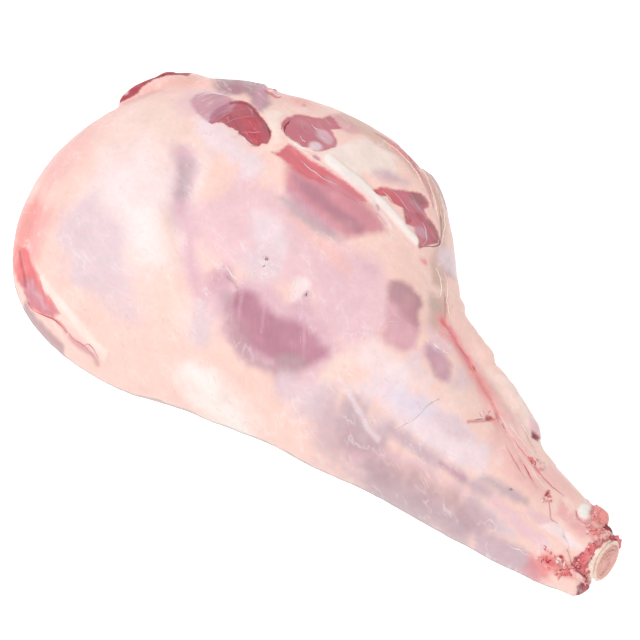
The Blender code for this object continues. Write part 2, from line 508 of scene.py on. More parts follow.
WINDOWS: tuple[Window, ...] = (
    Window("rump lean", Tone.CRIMSON, ((-123, 37), (-124, 44), (-124, 55), (-122, 59), (-119, 62),
        (-115, 63), (-111, 62), (-106, 60), (-101, 58), (-97, 56), (-92, 53.5), (-90, 50), (-88, 46),
        (-91, 44.5), (-91, 42), (-94, 40), (-98, 40.5), (-101, 41.5), (-104, 41), (-106, 43), (-108, 42),
        (-110, 42.5), (-112, 41), (-115, 42), (-117, 41.5), (-119, 40),
        (-120, 37.5)), 1.2, 1.0, 1.0, -30, 0.6),
    Window("rump lean, veiled lobe", Tone.MAUVE_LEAN, ((-141, 44), (-141.5, 49), (-137.5, 55.5),
        (-129, 59.5),
        (-122, 59), (-120, 54), (-120, 47), (-122.5, 41), (-124, 36.5), (-130, 37),
        (-137, 39.5)), 3.0, 0.7, 0.3, 74, 0.9),
    Window("outer lean", Tone.ROSE_LEAN, ((-92, 68), (-91, 72), (-89, 76), (-86, 79), (-82, 80.5),
        (-79, 83),
        (-77.5, 88), (-74, 88.5), (-70, 86), (-66, 84), (-68, 81), (-70, 79), (-66, 77), (-62, 74),
        (-60, 70), (-61, 65), (-63, 61), (-66, 58.5), (-68, 60), (-70, 58), (-72, 56.5), (-76, 57.5),
        (-80, 56.5), (-84, 57), (-88, 59), (-91, 62)), 2.0, 0.95, 0.8, -18, 0.3),
    Window("outer lean, small island", Tone.VEILED_LEAN, oval(-61.5, 56, 2.6, 1.2, -10), 1.2, 0.9, 0.2,
        -18),
    Window("knee lean", Tone.ROSE_LEAN, ((-28, 62.5), (-27, 65), (-24, 68), (-20, 70), (-17, 72), (-14, 75),
        (-11, 78), (-8, 80), (-5, 81), (-2, 80), (0, 77.5), (-1, 75), (1, 73), (4, 72), (8, 71.5), (12, 70),
        (15, 67.5), (16.5, 64), (15, 61), (13, 57), (11.5, 53), (9.5, 53.5), (8, 56), (5, 58), (2, 60.5),
        (0, 60), (-2, 59), (-4, 60.5), (-6, 62.5), (-9, 65), (-12, 64), (-15, 63), (-19, 64.5), (-22, 62.5),
        (-25, 61.5)), 1.8, 0.95, 1.0, -14, 0.35),
    Window("middle lean", Tone.PINK_LEAN, ((-76, 52), (-60, 52), (-42, 54), (-30, 54), (-20, 52), (-10, 49),
        (-8, 46), (-11, 40), (-15, 34), (-20, 28), (-30, 25.5), (-42, 25), (-54, 26), (-62, 29), (-67, 34),
        (-71, 39), (-76, 44)), 6.5, 0.9, 0.5, -50, 0.14),
    Window("middle lean, bright edge", Tone.RED_LEAN, ((-84, 44), (-81, 46.5), (-80.5, 50), (-80, 53.5),
        (-76, 53.8), (-70, 53), (-60, 53.2), (-48, 53.8), (-38, 55.3), (-30, 54.8), (-24, 53.5), (-28, 49),
        (-38, 48), (-48, 46), (-60, 43), (-70, 42.5), (-76, 43.5)), 2.4, 0.95, 0.7, -8, 0.3),
    Window("eye of the leg", Tone.MAUVE_LEAN, ((-47, -30), (-43, -28), (-38, -28), (-30, -29), (-24, -29),
        (-18, -28), (-13, -26), (-8, -25), (-2, -26), (4, -27), (9, -26), (12, -29), (10, -35), (6, -41),
        (0, -45), (-8, -48), (-16, -50), (-26, -50), (-34, -49), (-40, -46), (-45, -40),
        (-48, -34)), 6.5, 0.92, 0.3, -52, 0.14),
    Window("shin lean, upper", Tone.DUSK_LEAN, ((13, 26), (17, 29), (22, 31), (28, 31), (33, 28), (35, 22),
        (38, 18), (39, 15), (34, 13), (26, 12), (20, 13), (17, 16), (14, 20),
        (12, 24)), 5.0, 0.85, 0.3, -60, 0.14),
    Window("shin lean, lower", Tone.PALE_LEAN, ((19, 13), (26, 12.5), (34, 13), (39.5, 15), (41, 10),
        (44, 5), (42, 0), (38, -3), (30, -4), (25, -3), (25, 3), (23, 7)), 6.0, 0.85, 0.2, -60, 0.14),
    Window("shin oval", Tone.VEILED_LEAN, ((46, 12), (48, 14), (52, 14), (57, 14), (62, 12), (66, 8),
        (68, 3), (66, 0), (62, 0), (56, 3), (50, 6), (47, 9)), 5.0, 0.85, 0.2, -20, 0.14),
    Window("rump edge lean", Tone.DEEP_BLOOD, ((-183, 24), (-179.6, 27.4), (-177.2, 31.4), (-175.8, 37.4),
        (-174.8, 43.4), (-173, 48.6), (-170, 54), (-165.5, 58.6), (-160, 62), (-164, 70), (-182, 62),
        (-194, 44),
        (-192, 22)), 1.6, 1.0, 0.0, 66, 0.5),
    Window("hip cut", Tone.CORAL_RED, ((-169, -76), (-163, -75.5), (-160.7, -76), (-155.2, -79.4),
        (-149.2, -82.5),
        (-143.6, -85.9), (-136.4, -89.5), (-130.1, -90.8), (-122.9, -94), (-127, -96), (-135.1, -98.3),
        (-141.7, -97.7),
        (-146.6, -96.2), (-151.8, -93.3), (-157.5, -91.5), (-164, -87),
        (-170, -83)), 2.4, 0.95, 0.5, -35, 0.3),
)

HIP: tuple[Patch, ...] = (
    Patch("hip side", Tone.SHELL_PINK, ((-205, 40), (-164, 40), (-162, 0), (-164, -40),
        (-205, -40)), 18, 0.55),
    Streak("hip side, rosy edge", Tone.CORAL, ((-183, 8), (-181, -14), (-178, -36),
        (-174, -56)), 10, 0.3, width=7),
    Patch("rump shoulder", Tone.PALE_PEACH, oval(-140, 8, 32, 30, 0), 24, 0.9),
    # Partly painted highlight: the fat's pale rose on the dome, with the broad highlight on it and on its whiter side
    # painted in.
    Patch("dome", Tone.ROSE_WHITE, oval(-116, -24, 36, 32, -30), 26, 0.9),
    Patch("dome, white side", Tone.WHITE_FAT, oval(-104, -37, 17, 12, -40), 14, 0.5, lift=0.4),
    Patch("dome, grey side", Tone.LILAC_GREY, oval(-126, -58, 24, 20, -20), 20, 0.95),
    Patch("dome foot", Tone.LILAC_GREY, oval(-104, -72, 24, 10, -8), 14, 0.7),
    Patch("hip coral", Tone.CORAL, ((-186, -50), (-171, -46), (-160, -58), (-150, -70), (-148, -82),
        (-176, -82), (-190, -64)), 14, 0.5),
    Patch("hip coral, hot edge", Tone.SALMON, oval(-170, -66, 7, 14, 15), 9, 0.6),
    Streak("fat crest over the hip cut", Tone.CREAM_FAT, ((-142, -85), (-134, -87.6), (-126, -89.8),
        (-118, -92),
        (-108, -93.4), (-98, -95.4), (-89, -95.5)), 2.6, 0.95, lift=1.3, width=3.6),
    Patch("fat lip under the hip cut", Tone.PEACH_FAT, ((-150, -99), (-136, -100), (-120, -99),
        (-104, -101),
        (-90, -104), (-110, -112), (-150, -108)), 4, 0.9),
    Streak("shadow under the rump", Tone.DUSK_MAUVE, ((-146, -100), (-136, -103), (-126, -104.5),
        (-115, -105)), 2.5, 0.8,
        width=4),
    Streak("hip cut, red line", Tone.FLUSH, ((-144, -97.5), (-134, -98), (-128, -96.5), (-122, -97),
        (-115, -98.5)), 1.2, 0.9, lift=-0.5, width=1.6),
    Streak("hip cut, red line goes on", Tone.ROSE_VEIL, ((-112, -99), (-104, -99), (-98, -98.5),
        (-92, -100)), 2, 0.8, width=2),
    Patch("hip cut, red core", Tone.CORAL_RED, oval(-158, -80, 6, 3, -35), 3, 0.9, layer=Layer.LEAN),
    Patch("hip cut, orange end", Tone.SALMON, oval(-168.5, -80.5, 5, 4, -50), 3, 1.0, layer=Layer.LEAN),
    Patch("hip cut, pink membrane", Tone.FLUSH, oval(-143.5, -92.5, 4.5, 3, -10), 2.5, 1.0, 0.5,
        Layer.LEAN),
    Patch("hip cut, mauve foot", Tone.PINK_LEAN, ((-155, -90), (-149, -86), (-140, -90.5),
        (-124, -93.5), (-126, -97),
        (-141, -98.5), (-150, -95)), 4, 0.9, layer=Layer.LEAN),
    Streak("hip cut, fold", Tone.PALE_LEAN, ((-148, -88), (-144, -92), (-138, -92),
        (-133, -95.6)), 1.6, 0.8, 0.5,
        Layer.LEAN, width=1.8),
    Streak("hip cut, dark fold", Tone.DEEP_BLOOD, ((-166, -78), (-162.5, -81), (-157, -86),
        (-151, -92)), 1.6, 0.7, -0.5,
        Layer.LEAN, width=1.4),
    Patch("rump corner", Tone.PINK_FAT, oval(-164, 48, 18, 10, 50), 16, 0.6),
    Patch("rump corner, orange", Tone.ORANGE_FAT, oval(-156, 58, 13, 6, 35), 10, 0.45),
)

RUMP: tuple[Patch, ...] = (
    Patch("upper rump haze", Tone.PINK_LILAC, oval(-130, 44, 16, 12, 10), 14, 0.75),
    Patch("fat under the rump lean", Tone.LILAC_WHITE, oval(-104, 32, 24, 9, -5), 12, 0.9),
    Patch("mauve patch", Tone.DUSK_MAUVE, ((-152, 72), (-140, 80), (-124, 90), (-118, 82), (-113, 76),
        (-107, 70), (-105, 63), (-112, 63), (-117, 67), (-121, 68), (-127, 62), (-134, 61),
        (-142, 66)), 7, 0.95),
    Streak("mauve patch, plum streak", Tone.DUSK_LEAN, ((-137, 80), (-131, 73),
        (-127, 66)), 5, 0.9, width=5),
    Streak("mauve patch, blue edge", Tone.PLUM_VEIL, ((-118, 77), (-113, 70), (-108, 62)), 5, 0.9, width=4),
    Patch("rump notch", Tone.ROSE_WHITE, oval(-118, 84, 4.5, 1.8, -50), 2, 0.5, lift=-2.5),
    Patch("outer peach", Tone.PINK_FAT, oval(-99, 86, 14, 8, 0), 9, 1.0),
    Patch("outer peach, hot", Tone.ORANGE_FAT, oval(-97, 87, 6, 3.5, 10), 5, 0.8),
    Patch("outer peach, red spot", Tone.FLUSH, oval(-92.5, 84, 1.3, 1.8, 0), 1.6, 0.9),
    Patch("between the leans", Tone.CREAM_FAT, ((-105, 64), (-96, 70), (-93, 62), (-88, 56), (-84, 52),
        (-86, 44), (-89, 52), (-98, 58)), 4, 0.9, lift=0.4),
    Patch("rump lean, bright end", Tone.BRIGHT_CRIMSON,
        oval(-98, 46, 7, 4.5, -20), 4, 1.0, layer=Layer.LEAN),
    Patch("rump lean, bright heart", Tone.BRIGHT_CRIMSON,
        oval(-105, 52, 5, 4, -20), 4, 0.8, layer=Layer.LEAN),
    Patch("rump lean, dark tip", Tone.BROWN_LEAN, oval(-95, 54, 4, 1.6, -25), 1.6, 0.9, layer=Layer.LEAN),
    Streak("rump lean, dark seam", Tone.DARK_BLOOD, ((-122.5, 56), (-119, 60.5), (-114, 62), (-107, 59.5),
        (-100, 57)), 1.2, 0.7, -0.3, Layer.LEAN, width=1.3),
    Streak("rump edge lean, bright band", Tone.BRIGHT_CRIMSON, ((-182, 37), (-180.6, 44), (-178, 50),
        (-174, 55)), 3, 0.9,
        layer=Layer.LEAN, width=3),
    Streak("rump edge lean, dark ends", Tone.DARK_BLOOD, ((-186, 24),
        (-184, 34)), 2, 0.8, layer=Layer.LEAN, width=3),
    Patch("rump edge lean, lilac shine",
        Tone.LILAC_GREY, oval(-182.4, 33.5, 1.4, 2.8, 60), 1.6, 0.9, layer=Layer.LEAN),
    Streak("rump groove", Tone.MAUVE_VEIL, ((-122, 14), (-116, 7), (-109, -1), (-101, -11), (-92, -19),
        (-82, -28), (-74, -38), (-64, -45), (-55, -51)), 14, 0.9, lift=-0.5, width=6),
    Streak("rump groove core", Tone.GREY_MAUVE, ((-114, 6), (-110, 1),
        (-106, -5)), 10, 0.9, lift=-0.3, width=5),
    Streak("seam fat strip", Tone.PALE_PEACH, ((-106, -22), (-96, -29), (-86, -38), (-80, -46), (-68, -55),
        (-56, -60)), 7, 0.8, lift=0.5, width=5),
    Patch("seam fat, wide end", Tone.PALE_PEACH, oval(-60, -58, 16, 7, -25), 9, 0.8),
)

UPPER: tuple[Patch, ...] = (
    Patch("fat saddle", Tone.CREAM_FAT, ((-62, 60), (-58, 76), (-52, 88), (-38, 90), (-28, 86), (-24, 80),
        (-30, 72), (-36, 66), (-34, 60), (-48, 58)), 6, 1.0, lift=0.7),
    Streak("fat ridge", Tone.WHITE_FAT, ((-56, 60), (-44, 58.5), (-32, 60), (-20, 58.5), (-8, 56.5),
        (2, 55.5), (8, 55)), 2.5, 1.0, lift=1.0, width=6, end_width=4),
    Streak("fat ridge, far side", Tone.ROSE_WHITE, ((-44, 55.5), (-34, 57), (-24, 55.5), (-14, 52.5),
        (-6, 50.5)), 2, 0.9, lift=0.4, width=2),
    Streak("fat ridge, crack", Tone.DUSK_MAUVE, ((-20, 55), (-17.5, 53.5)), 1.2, 0.7, width=1.4),
    Patch("saddle, lilac slope", Tone.MAUVE_GREY, oval(-26, 75, 11, 4.5, 28), 7, 0.8),
    Patch("outer band", Tone.TAN_FAT, ((-76, 90), (-76, 102), (-60, 102), (-36, 100), (-10, 94), (2, 86),
        (8, 80), (-2, 84), (-14, 88), (-30, 91), (-50, 91), (-64, 89)), 5, 0.9),
    Patch("outer band, pink flush", Tone.CORAL, oval(-33, 96.5, 9, 2, -3), 3, 0.9),
    Patch("outer edge, brown sliver", Tone.BROWN_EDGE, ((-40, 108), (-38, 101), (-34, 98.8), (-24, 98),
        (-16, 97.5), (-14, 104), (-24, 108)), 3, 0.8, lift=-0.5),
    Patch("outer edge, dusk", Tone.DUSK_MAUVE, ((-18, 104), (-16, 98), (-6, 94), (4, 88), (10, 92),
        (-6, 104)), 4, 0.8),
    Patch("knee fat", Tone.TAN_FAT, ((2, 86), (10, 82), (18, 70), (24, 60), (34, 48), (28, 42), (20, 50),
        (17.5, 60), (17, 68), (8, 73)), 5, 0.9),
    Patch("behind the knee", Tone.DUSK_MAUVE, oval(27.5, 58.5, 6, 4, -45), 6, 0.7, lift=-0.5),
    Patch("red spot", Tone.SALMON, oval(17, 48.5, 2.2, 1.8, 0), 3, 0.95),
    Patch("below the knee lean", Tone.PEACH_FAT, oval(2, 42, 14, 7, -10), 8, 0.95),
    Patch("outer lean, haze above", Tone.ROSE_VEIL, ((-78, 87), (-76, 93), (-66, 93), (-56, 90), (-60, 84),
        (-66, 82), (-72, 84)), 5, 0.7),
    Patch("outer lean, pale side", Tone.MAUVE_VEIL, oval(-69, 72, 6, 3.6, -25), 3, 0.9, layer=Layer.LEAN),
    Patch("outer lean, white foot", Tone.LILAC_GREY,
        oval(-67.5, 62, 3.2, 3.4, 0), 2.5, 1.0, 0.4, Layer.LEAN),
    Patch("outer lean, magenta foot", Tone.ROSE_LEAN, oval(-80, 60.5, 6, 2.4, 0), 3, 0.9, layer=Layer.LEAN),
    Patch("bright edge, red", Tone.RED_LEAN, ((-82, 44), (-78, 47.5), (-70, 51), (-58, 50.5), (-54, 47),
        (-64, 43.5), (-74, 44)), 3, 0.9, layer=Layer.LEAN),
    Patch("middle lean, rose upper", Tone.PINK_LEAN, ((-50, 50), (-34, 54), (-20, 52), (-9, 48), (-14, 44),
        (-30, 44), (-46, 43)), 5, 0.8, layer=Layer.LEAN),
    Patch("middle lean, mauve heart", Tone.PLUM_LEAN, ((-66, 39), (-50, 42), (-36, 40), (-18, 42),
        (-14, 36),
        (-22, 32), (-40, 32), (-56, 34)), 5, 0.9, layer=Layer.LEAN),
    Patch("middle lean, dusk foot", Tone.PLUM_VEIL, ((-66, 32), (-50, 30), (-30, 29), (-20, 30), (-22, 24),
        (-46, 22), (-62, 25)), 4, 0.9, layer=Layer.LEAN),
    Patch("middle lean, haze below", Tone.GREY_MAUVE, ((-62, 27), (-44, 26), (-26, 28), (-22, 24),
        (-34, 20),
        (-52, 20), (-64, 23)), 6, 0.8),
    Patch("knee lean, brown top", Tone.BROWN_LEAN, oval(-7, 76.5, 5, 3, 25), 3, 0.9, layer=Layer.LEAN),
    Patch("knee lean, rose middle", Tone.DUSK_LEAN, oval(-4, 72.5, 5, 2, 0), 2.5, 0.8, layer=Layer.LEAN),
    Streak("knee lean, red band", Tone.BLOOD, ((-26, 64), (-22, 66.5), (-17, 67),
        (-11, 65.3)), 1.6, 0.95, 0.0, Layer.LEAN, width=3.6),
    Patch("knee lean, dark pit", Tone.CRIMSON, oval(0, 68.6, 3, 2, 0), 1.6, 0.95, -0.6, Layer.LEAN),
    Patch("knee lean, red tip", Tone.DEEP_BLOOD, oval(-3, 61.8, 2.6, 1.7, -10), 1.4, 0.95, -0.3,
        Layer.LEAN),
    Patch("knee lean, grey foot", Tone.VEILED_LEAN, oval(6.5, 61.5, 4.5, 2.8, 0), 3, 0.9, layer=Layer.LEAN),
    Streak("knee lean, dark side", Tone.BROWN_LEAN, ((5, 70), (11, 69), (15, 66),
        (15.5, 62.5)), 2, 0.9, 0.0, Layer.LEAN, width=2.6),
)

MIDDLE: tuple[Patch, ...] = (
    Patch("pink veil", Tone.PINK_LILAC, ((-96, -6), (-90, 24), (-66, 30), (-30, 22), (0, 26), (24, 4),
        (18, -20), (-20, -12), (-60, -22)), 18, 0.95),
    Patch("mid veil", Tone.PALE_THREAD, ((-26, 8), (-10, 20), (8, 24), (20, 10), (26, -4), (16, -14),
        (-4, -18), (-16, -8)), 9, 0.95),
    Streak("mid veil, dusk fold", Tone.MAUVE_VEIL, ((1, 21), (3, 13), (7, 5)), 6, 0.9, width=5),
    Patch("mid white", Tone.LILAC_WHITE, oval(-52, 3, 16, 8, -20), 10, 0.8),
    Patch("salmon below the middle lean", Tone.PINK_FAT, oval(-30, 17, 24, 5, -8), 7, 0.7),
    Patch("left of the eye", Tone.PLUM_VEIL, oval(-56, -34, 7, 10, 20), 10, 0.85),
    Patch("under left of the eye", Tone.PALE_THREAD, oval(-50, -46, 7, 8, 50), 8, 0.7),
    Patch("round the eye", Tone.MAUVE_VEIL, ((-54, -36), (-50, -24), (-36, -20), (-20, -20), (0, -18),
        (16, -22),
        (20, -34), (12, -46), (0, -53), (-20, -57), (-40, -54), (-50, -46)), 9, 0.9),
    Streak("rim below the eye", Tone.DUSK_MAUVE, ((-48, -38), (-43, -45), (-35, -50.5), (-24, -53.5),
        (-12, -53),
        (-4, -50), (6, -44)), 8, 0.7, width=7),
    Patch("eye, heart", Tone.PLUM_LEAN, oval(-20, -38, 20, 8, -16), 12, 0.85, layer=Layer.LEAN),
    Patch("eye, plum end", Tone.PLUM_LEAN, oval(-41, -35, 7, 5, -40), 8, 0.9, layer=Layer.LEAN),
    Streak("eye, pale slant 1", Tone.PALE_LEAN, ((-44, -31), (-41, -37),
        (-37, -44)), 1.6, 0.7, layer=Layer.LEAN, width=1.2),
    Streak("eye, pale slant 2", Tone.PALE_LEAN, ((-31, -27), (-28, -33),
        (-24, -41)), 1.6, 0.55, layer=Layer.LEAN, width=1.2),
    Streak("eye, pale slant 3", Tone.PALE_LEAN, ((-9, -24), (-4, -30),
        (3, -38)), 1.8, 0.75, layer=Layer.LEAN, width=1.4),
    Patch("eye, right", Tone.MAUVE_LEAN, oval(4, -33, 5, 5, 0), 5, 0.8, layer=Layer.LEAN),
    Patch("eye, grey foot", Tone.DUSK_MAUVE, oval(-2, -43, 9, 4, 20), 5, 0.9, layer=Layer.LEAN),
    Patch("eye, dusk foot", Tone.DUSK_LEAN, oval(-34, -45, 9, 3.5, -20), 4, 0.8, layer=Layer.LEAN),
    Patch("under the wedge", Tone.MAUVE_VEIL, oval(-14, -16, 10, 7, -30), 8, 0.85),
    Patch("veil by the shin lean", Tone.PINK_LILAC, oval(11, 10, 14, 12, -50), 10, 0.8),
    Patch("veil, left haze", Tone.PINK_LILAC, oval(-80, -13, 18, 14, -40), 14, 0.8),
    # Painted glint: a pale fold of fell, painted white for the glint of light on it.
    Patch("white wedge", Tone.ROSE_WHITE, ((-26, -7), (-24.5, -12), (-22.5, -16), (-20, -19), (-18, -17),
        (-17, -13), (-16.5, -9), (-18, -5), (-22, -3.5)), 4, 0.9, lift=0.4),
    Patch("wedge, dark nick", Tone.GREY_MAUVE, oval(-16.8, -11.3, 0.9, 1.8, 10), 1.0, 0.9, lift=-0.6),
    Patch("rumpled fell", Tone.LILAC_GREY, oval(-46, -14, 10, 9, 20), 12, 0.8),
    Patch("rumple, dark nick", Tone.DUSK_MAUVE, oval(-44.6, -9.2, 1.0, 1.3, 0), 1.0, 0.95, lift=-0.7),
    Streak("crease, dark foot", Tone.DUSK_MAUVE, ((-56, -28.6), (-51, -29.2), (-47, -31), (-45, -34.5),
        (-42.5, -39)), 1.6, 0.7, lift=-0.4, width=1.5),
    Patch("right of the eye", Tone.PALE_PEACH, oval(18, -31, 6, 11, -15), 8, 0.95),
    Patch("right of the eye, pink", Tone.PINK_LILAC, oval(10, -46, 6, 7, 40), 7, 0.8),
    Patch("under the eye, rose", Tone.PALE_THREAD, oval(3, -55, 7, 4, 0), 6, 0.9),
    Patch("foot of the calf", Tone.LILAC_GREY, oval(20, -48, 9, 9, 0), 12, 0.9),
)

CALF: tuple[Patch, ...] = (
    # Partly painted highlight: the calf's pale fell, whitest where its ridge catches the light.
    Patch("calf white", Tone.ROSE_WHITE, ((26, -6), (44, -4), (60, -4), (66, -12), (54, -14), (40, -22),
        (26, -24), (20, -20)), 12, 0.9),
    Patch("calf lilac", Tone.LILAC_WHITE, ((36, -18), (50, -12), (66, -12), (84, -12), (108, -10),
        (112, -24), (96, -30), (60, -33), (30, -33)), 13, 0.9),
    Patch("calf blue sheen", Tone.BLUE_LILAC, oval(60, -20, 14, 5, 15), 8, 0.8),
    Patch("calf blue sheen, right", Tone.LILAC_GREY, oval(86, -15, 13, 4.5, 8), 6, 0.8),
    Patch("calf grey dip", Tone.LILAC_GREY, ((40, -34), (50, -33), (60, -36), (62, -41), (54, -43),
        (44, -38)), 9, 0.9),
    Streak("calf mauve band", Tone.MAUVE_GREY, ((61, -37), (72, -37), (84, -36), (98, -34.5), (110, -32.5),
        (121, -30.5)), 8, 0.95, lift=-0.4, width=7, end_width=5),
    Patch("calf mauve heart", Tone.VEILED_LEAN, oval(98, -34, 9, 2, 8), 5, 0.9),
    # Partly painted shade: the calf's lilac fell, darkened towards its lower side.
    Patch("calf under band", Tone.MAUVE_GREY, ((22, -40), (50, -44), (62, -46), (80, -48), (110, -42),
        (126, -44), (120, -56), (96, -62), (60, -66), (30, -66), (16, -58)), 14, 0.75),
    Patch("calf under band, dusk", Tone.GREY_MAUVE, oval(46, -46, 16, 8, -12), 12, 0.95),
    Patch("calf under band, far dusk", Tone.GREY_MAUVE, ((62, -57), (76, -53), (92, -49), (112, -46),
        (128, -46), (126, -56), (98, -62), (66, -66)), 12, 0.95),
    Streak("pale seam", Tone.LILAC_WHITE, ((24, -34), (34, -37.5), (42, -41), (50, -44),
        (58, -45.5)), 3, 0.8, lift=0.4, width=2.6),
    Streak("peach seam", Tone.PINK_LILAC, ((52, -58), (58, -54), (65, -49.5), (74, -45.5), (86, -42.5),
        (98, -40.5), (112, -38.5)), 5, 0.9, lift=0.5, width=4, end_width=3),
    Patch("cream by the calf", Tone.PALE_PEACH, oval(23, -28, 6, 5, -20), 6, 0.9),
    Patch("shin surround", Tone.PINK_LILAC, ((36, 28), (40, 20), (46, 16), (46, 8), (44, 0), (48, -4),
        (60, 20), (52, 26)), 5, 0.9),
    Patch("tan by the knee", Tone.TAN_FAT, ((30, 36), (36, 30), (40, 22), (50, 24), (46, 32),
        (38, 42)), 6, 0.9),
    Patch("tan by the knee, dusk", Tone.GREY_TAN, oval(37, 33, 4, 4, 0), 6, 0.6),
    Patch("lilac below the oval", Tone.LILAC_WHITE, ((45, 5), (50, 3), (56, 0), (61, -2), (64, -4),
        (57, -6),
        (48, -6), (45, -2)), 6, 0.8),
    Patch("dusk right of the oval", Tone.LILAC_GREY, ((67, 17), (76, 13), (78, 5), (72, 1),
        (68, 6)), 9, 0.7),
    Patch("cream right of the oval", Tone.PALE_PEACH, ((68, 0), (78, 4), (88, 6), (90, 0), (82, -6),
        (72, -6)), 9, 0.8),
    Patch("shin lean, dusk heart", Tone.MAUVE_LEAN, oval(29, 19.5, 5, 4, -40), 5, 0.7, layer=Layer.LEAN),
    Patch("shin lean, wine edge", Tone.MAUVE_LEAN, oval(36, 16, 3, 2.4, -40), 3, 0.8, layer=Layer.LEAN),
    Patch("vein bed", Tone.PINK_FAT, ((44, 36), (60, 31), (76, 26), (92, 22), (106, 16), (112, 8), (104, 2),
        (92, 2), (84, 10), (72, 16), (60, 20), (48, 24)), 7, 0.9),
    Patch("vein bed, coral", Tone.SHELL_PINK, ((50, 32), (62, 28), (74, 22), (70, 18), (58, 21),
        (50, 25)), 5, 0.9),
    Streak("tendon strip", Tone.WHITE_FAT, ((86, 28), (93.5, 27.1), (100.9, 25.2), (107.9, 22.3),
        (115.1, 18.8)), 3.5, 0.95,
        lift=0.5, width=5),
    Patch("vein bed, cream above", Tone.PEACH_FAT, oval(78, 28, 10, 3, -14), 5, 0.8),
    Streak("vein flush", Tone.CORAL, ((44, 31), (58.2, 26.5), (71.4, 21.6), (81.7, 16.7), (90.9, 12.3),
        (100.6, 7.1),
        (112, 1)), 7, 0.75, width=6),
    Streak("vein, red start", Tone.CORAL_RED, ((44, 31.2), (49.2, 30.2), (58.2, 26.5), (65.9, 24.6),
        (71.4, 21.6)), 3.2, 0.9,
        lift=-0.6, width=2.6),
    Streak("vein, middle", Tone.SALMON, ((71.4, 21.6), (81.7, 16.7), (90.9, 12.3),
        (100.6, 7.1)), 2.6, 0.85, lift=-0.5,
        width=2.0),
    Streak("vein, dark run", Tone.ROSE_LEAN, ((97, 8), (101, 5.5), (107, 3.6), (113, 0.8), (119, -2.4),
        (124, -5)), 2.0, 0.8, lift=-0.5, width=1.5),
    Streak("vein, red end", Tone.FLUSH, ((123, -4.5), (128, -7), (133, -8.8),
        (138, -10.6)), 2.2, 0.9, lift=-0.5, width=2.6),
    Streak("vein branch", Tone.ROSE_LEAN, ((89.5, -7.5), (92.5, -4), (95, -1),
        (96.5, 2.4)), 1.6, 0.8, lift=-0.3, width=1.2),
    Patch("branch knot", Tone.DEEP_BLOOD, oval(96, 2.6, 1.6, 2.4, -20), 1.8, 0.95, lift=-0.5),
    Patch("branch flush", Tone.SALMON, oval(101, 3, 4.5, 2.4, -10), 4, 0.8),
)

